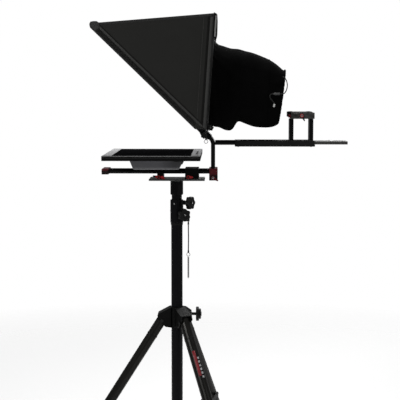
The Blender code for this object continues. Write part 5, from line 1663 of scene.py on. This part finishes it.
def make_clamp_screws():
    """Cap screws under the plates, and on the corner clamp and the rods' end cap."""
    plate_low, plate_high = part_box("base_plate")
    sets = {
        "base_screws": ("head", [
            (Vector((x, y, plate_low.z)), -Z_AXIS, 0.0032)
            for x in (plate_low.x + 0.038, plate_high.x - 0.036) for y in (-0.030, 0.030)]
            + [(at(0.023 * math.cos(a) * 1.42, 0.023 * math.sin(a) * 1.42, plate_low.z), -Z_AXIS, 0.0028)
               for a in (math.radians(d) for d in (45, 135, 225, 315))]),
        "corner_screws": ("rails", []),
        "rail_screws": ("uprights", []),
        "platform_screws": ("camera_sled", []),
    }
    low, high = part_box("corner_clamp")
    for x in (low.x + 0.007, high.x - 0.007):
        sets["corner_screws"][1].append((Vector((x, high.y, high.z - 0.012)), Y_AXIS, 0.0030))
    low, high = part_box("rod_end_cap")
    for y in (low.y + 0.012, 0.0, high.y - 0.012):
        sets["corner_screws"][1].append((Vector((low.x, y, (low.z + high.z) / 2)), -X_AXIS, 0.0028))
    low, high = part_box("camera_rail")
    for y in (-0.032, 0.032):
        for x in (low.x + 0.012, high.x - 0.012):
            sets["rail_screws"][1].append((Vector((x, y, low.z)), -Z_AXIS, 0.0030))
    low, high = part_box("camera_platform")
    for x in (low.x + 0.006, high.x - 0.012):
        for y in (-0.026, 0.026):
            sets["platform_screws"][1].append((Vector((x, y, low.z)), -Z_AXIS, 0.0026))
    for name, (body, screws) in sets.items():
        bm = bmesh.new()
        for place, axis, radius in screws:
            add_screw(bm, place, axis, radius)
        keep(name, bm, [BRIGHT_STEEL, MOULDED_BLACK], body, 35)


def make_monitor_details():
    """Button marks and a standby light on the bezel; vents, ports and screws on the housing."""
    low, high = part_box("monitor_bezel")
    bm = bmesh.new()
    rocker = middle("menu_rocker")
    for index in range(4):
        y = -0.008 + 0.021 * index
        add_block(bm, (rocker.x - 0.0030, y - 0.0065, high.z - 0.0003),
                  (rocker.x + 0.0030, y + 0.0065, high.z + 0.0005), 0.0004)
    add_block(bm, (rocker.x - 0.0012, -0.1262, high.z - 0.0003),
              (rocker.x + 0.0012, -0.1238, high.z + 0.0004), 0.0003, material=1)
    keep("bezel_marks", bm, [MOULDED_BLACK, LABEL_WHITE], "monitor", 35)

    back_low, back_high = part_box("monitor_back")
    bm = bmesh.new()
    for side in (-1, 1):
        for index in range(16):
            x = back_low.x + 0.052 + 0.0054 * index
            y = side * 0.088
            add_block(bm, (x - 0.0013, y - 0.019, back_low.z - 0.0007),
                      (x + 0.0013, y + 0.019, back_low.z + 0.0004), 0.0004)
    for x in (-0.038, 0.038):
        for y in (-0.052, 0.052):
            centre = Vector(((back_low.x + back_high.x) / 2 + x, y, back_low.z))
            add_screw(bm, centre, -Z_AXIS, 0.0032, 1, 0)
    keep("housing_vents", bm, [MOULDED_BLACK, BRIGHT_STEEL], "monitor", 35)

    bm = bmesh.new()
    # a dark seam line lower down, and a painted highlight strip along the bezel's top edge
    for level, reach, finish in ((high.z - 0.0068, 0.0004, 0), (high.z - 0.0015, 0.0003, 1)):
        outer_low = Vector((low.x - reach, low.y - reach, level))
        outer_high = Vector((high.x + reach, high.y + reach, level + 0.0010))
        for axis in (0, 1):
            for side in (-1, 1):
                strip_low = outer_low.copy()
                strip_high = outer_high.copy()
                if side < 0:
                    strip_high[axis] = strip_low[axis] + 0.0009
                else:
                    strip_low[axis] = strip_high[axis] - 0.0009
                add_block(bm, strip_low, strip_high, 0.0002, material=finish)
    keep("bezel_seam_and_highlight", bm, [BEZEL_LINE, BEZEL_EDGE_HIGHLIGHT], "monitor", 35)

    bm = bmesh.new()
    end = back_high.x
    for index in range(7):
        x = end - 0.0045 - 0.0042 * index
        z = back_high.z - 0.0052
        add_block(bm, (x - 0.0012, -0.1285, z - 0.0040), (x + 0.0012, -0.1230, z + 0.0045), 0.0004)
    for y, width, height in ((-0.070, 0.030, 0.009), (-0.020, 0.016, 0.006), (0.018, 0.020, 0.0085),
                             (0.060, 0.012, 0.007)):
        add_block(bm, (end - 0.0105, y - width / 2, back_high.z - 0.021),
                  (end - 0.0020, y + width / 2, back_high.z - 0.021 + height), 0.0006)
        add_block(bm, (end - 0.0045, y - width / 2 + 0.0015, back_high.z - 0.0195),
                  (end - 0.0008, y + width / 2 - 0.0015, back_high.z - 0.0225 + height), 0.0004, material=1)
    keep("housing_ports", bm, [MOULDED_BLACK, BRIGHT_STEEL], "monitor", 35)


def make_clamp_shoe():
    """The red foot beside the front clamp's lever."""
    low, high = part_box("front_clamp_lever")
    plate_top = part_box("base_plate")[1].z
    bm = bmesh.new()
    start = high.x + 0.0006
    add_turned(bm, [(0, 0.0035), (0.0048, 0.0035), (0.0062, 0.0022), (0.0062, -0.0035), (0, -0.0035)],
               Vector((start + 0.0062, (low.y + high.y) / 2, plate_top + 0.0064)), -Y_AXIS, 32)
    add_block(bm, (start + 0.0062, low.y + 0.0010, plate_top + 0.0002),
              (start + 0.0160, high.y - 0.0010, plate_top + 0.0052), 0.0010)
    keep("front_clamp_shoe", bm, [FRONT_SHOE], "head", 35)


def make_rail_details():
    """The slide bar's centre slot and plain tick marks, its stop screw, and the rail's end cap."""
    low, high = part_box("slide_bar")
    bm = bmesh.new()
    add_block(bm, (low.x + 0.150, -0.0034, high.z - 0.0010),
              (high.x - 0.012, 0.0034, high.z + 0.0002), 0.0002)
    for index in range(23):
        x = low.x + 0.152 + 0.005 * index
        reach = 0.0060 if index % 5 == 0 else 0.0034
        add_block(bm, (x - 0.0003, low.y + 0.0035, high.z - 0.0004),
                  (x + 0.0003, low.y + 0.0035 + reach, high.z + 0.00012), 0.00008, material=1)
    keep("slide_marks", bm, [MOULDED_BLACK, LABEL_WHITE], "camera_sled", 35)
    bm = bmesh.new()
    for y in (-0.020, 0.020):
        add_screw(bm, at(0.565, y, high.z), Z_AXIS, 0.0046)
    keep("slide_stops", bm, [BRIGHT_STEEL, MOULDED_BLACK], "camera_sled", 35)

    low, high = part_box("camera_rail")
    bm = bmesh.new()
    add_block(bm, (high.x - 0.0004, low.y + 0.0006, low.z + 0.0006), (high.x + 0.0022, high.y - 0.0006,
              low.z + 0.0072), 0.0006)
    for y in (low.y, high.y):
        sign = -1 if y < 0 else 1
        for z in (low.z + 0.0055, low.z + 0.0165):
            start = Vector((low.x + 0.001, y + sign * 0.0001, z))
            end = Vector((high.x - 0.001, y + sign * 0.0001, z))
            add_tube(bm, line(start, end, 2), 0.0004, 6)
    keep("rail_trim", bm, [MOULDED_BLACK], "uprights", 35)


def make_platform_details():
    """The sliding plate's rubber strips, and the platform's red stop tab."""
    low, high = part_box("camera_plate")
    bm = bmesh.new()
    for x in (low.x + 0.012, high.x - 0.012):
        add_block(bm, (x - 0.0065, low.y + 0.003, high.z - 0.0006), (x + 0.0065, high.y - 0.003,
                  high.z + 0.0009), 0.0004)
    keep("plate_pads", bm, [FOOT_RUBBER], "camera_plate", 35)
    low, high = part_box("camera_platform")
    bm = bmesh.new()
    add_block(bm, (low.x - 0.0095, -0.0345, low.z + 0.0045),
              (low.x + 0.0005, -0.0235, high.z - 0.0075), 0.0014)
    keep("platform_tab", bm, [TAB_RED], "camera_sled", 35)
    bm = bmesh.new()
    for z in (low.z + 0.0075, low.z + 0.0155):
        start = Vector((low.x + 0.004, low.y, z))
        end = Vector((high.x - 0.004, low.y, z))
        add_tube(bm, line(start, end, 2), 0.0002, 6)
    keep("platform_lines", bm, [MOULDED_BLACK], "camera_sled", 35)


def make_glass_clips():
    """Small spring clips that hold the splitter glass in its frame."""
    low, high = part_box("splitter_glass")
    slope = Vector((high.x - low.x, 0, low.z - high.z)).normalized()
    normal = Vector((slope.z, 0, -slope.x)).normalized()
    normal *= -1 if normal.z > 0 else 1
    bm = bmesh.new()
    top = Vector((low.x, 0, high.z))
    span = Vector((high.x - low.x, 0, low.z - high.z)).length
    for sign in (-1, 1):
        for share in (0.12, 0.5, 0.88):
            centre = top + slope * span * share + Y_AXIS * sign * (high.y + 0.004) + normal * 0.0052
            turn = Matrix((slope, Y_AXIS, slope.cross(Y_AXIS))).transposed()
            add_block(bm, centre - Vector((0.010, 0.009, 0.0007)), centre + Vector((0.010, 0.009, 0.0007)),
                      0.0005, turn, centre)
            add_screw(bm, centre + normal * 0.0007 + Y_AXIS * sign * 0.003, normal, 0.0026, 1, 0)
    keep("glass_clips", bm, [ANODISED_BLACK, BRIGHT_STEEL], "hood", 35)


def make_fittings():
    make_leg_fittings()
    make_leg_label()
    make_column_fittings()
    make_knob_caps()
    make_lever_screws()
    make_clamp_screws()
    make_monitor_details()
    make_clamp_shoe()
    make_rail_details()
    make_platform_details()
    make_glass_clips()


make_camera()
make_world()
make_lights()
make_floor()
dress_nodes()
make_lanyard()
make_drawstring()
make_hood()
make_shroud()
make_fittings()
bpy.context.scene.view_settings.view_transform = "Standard"
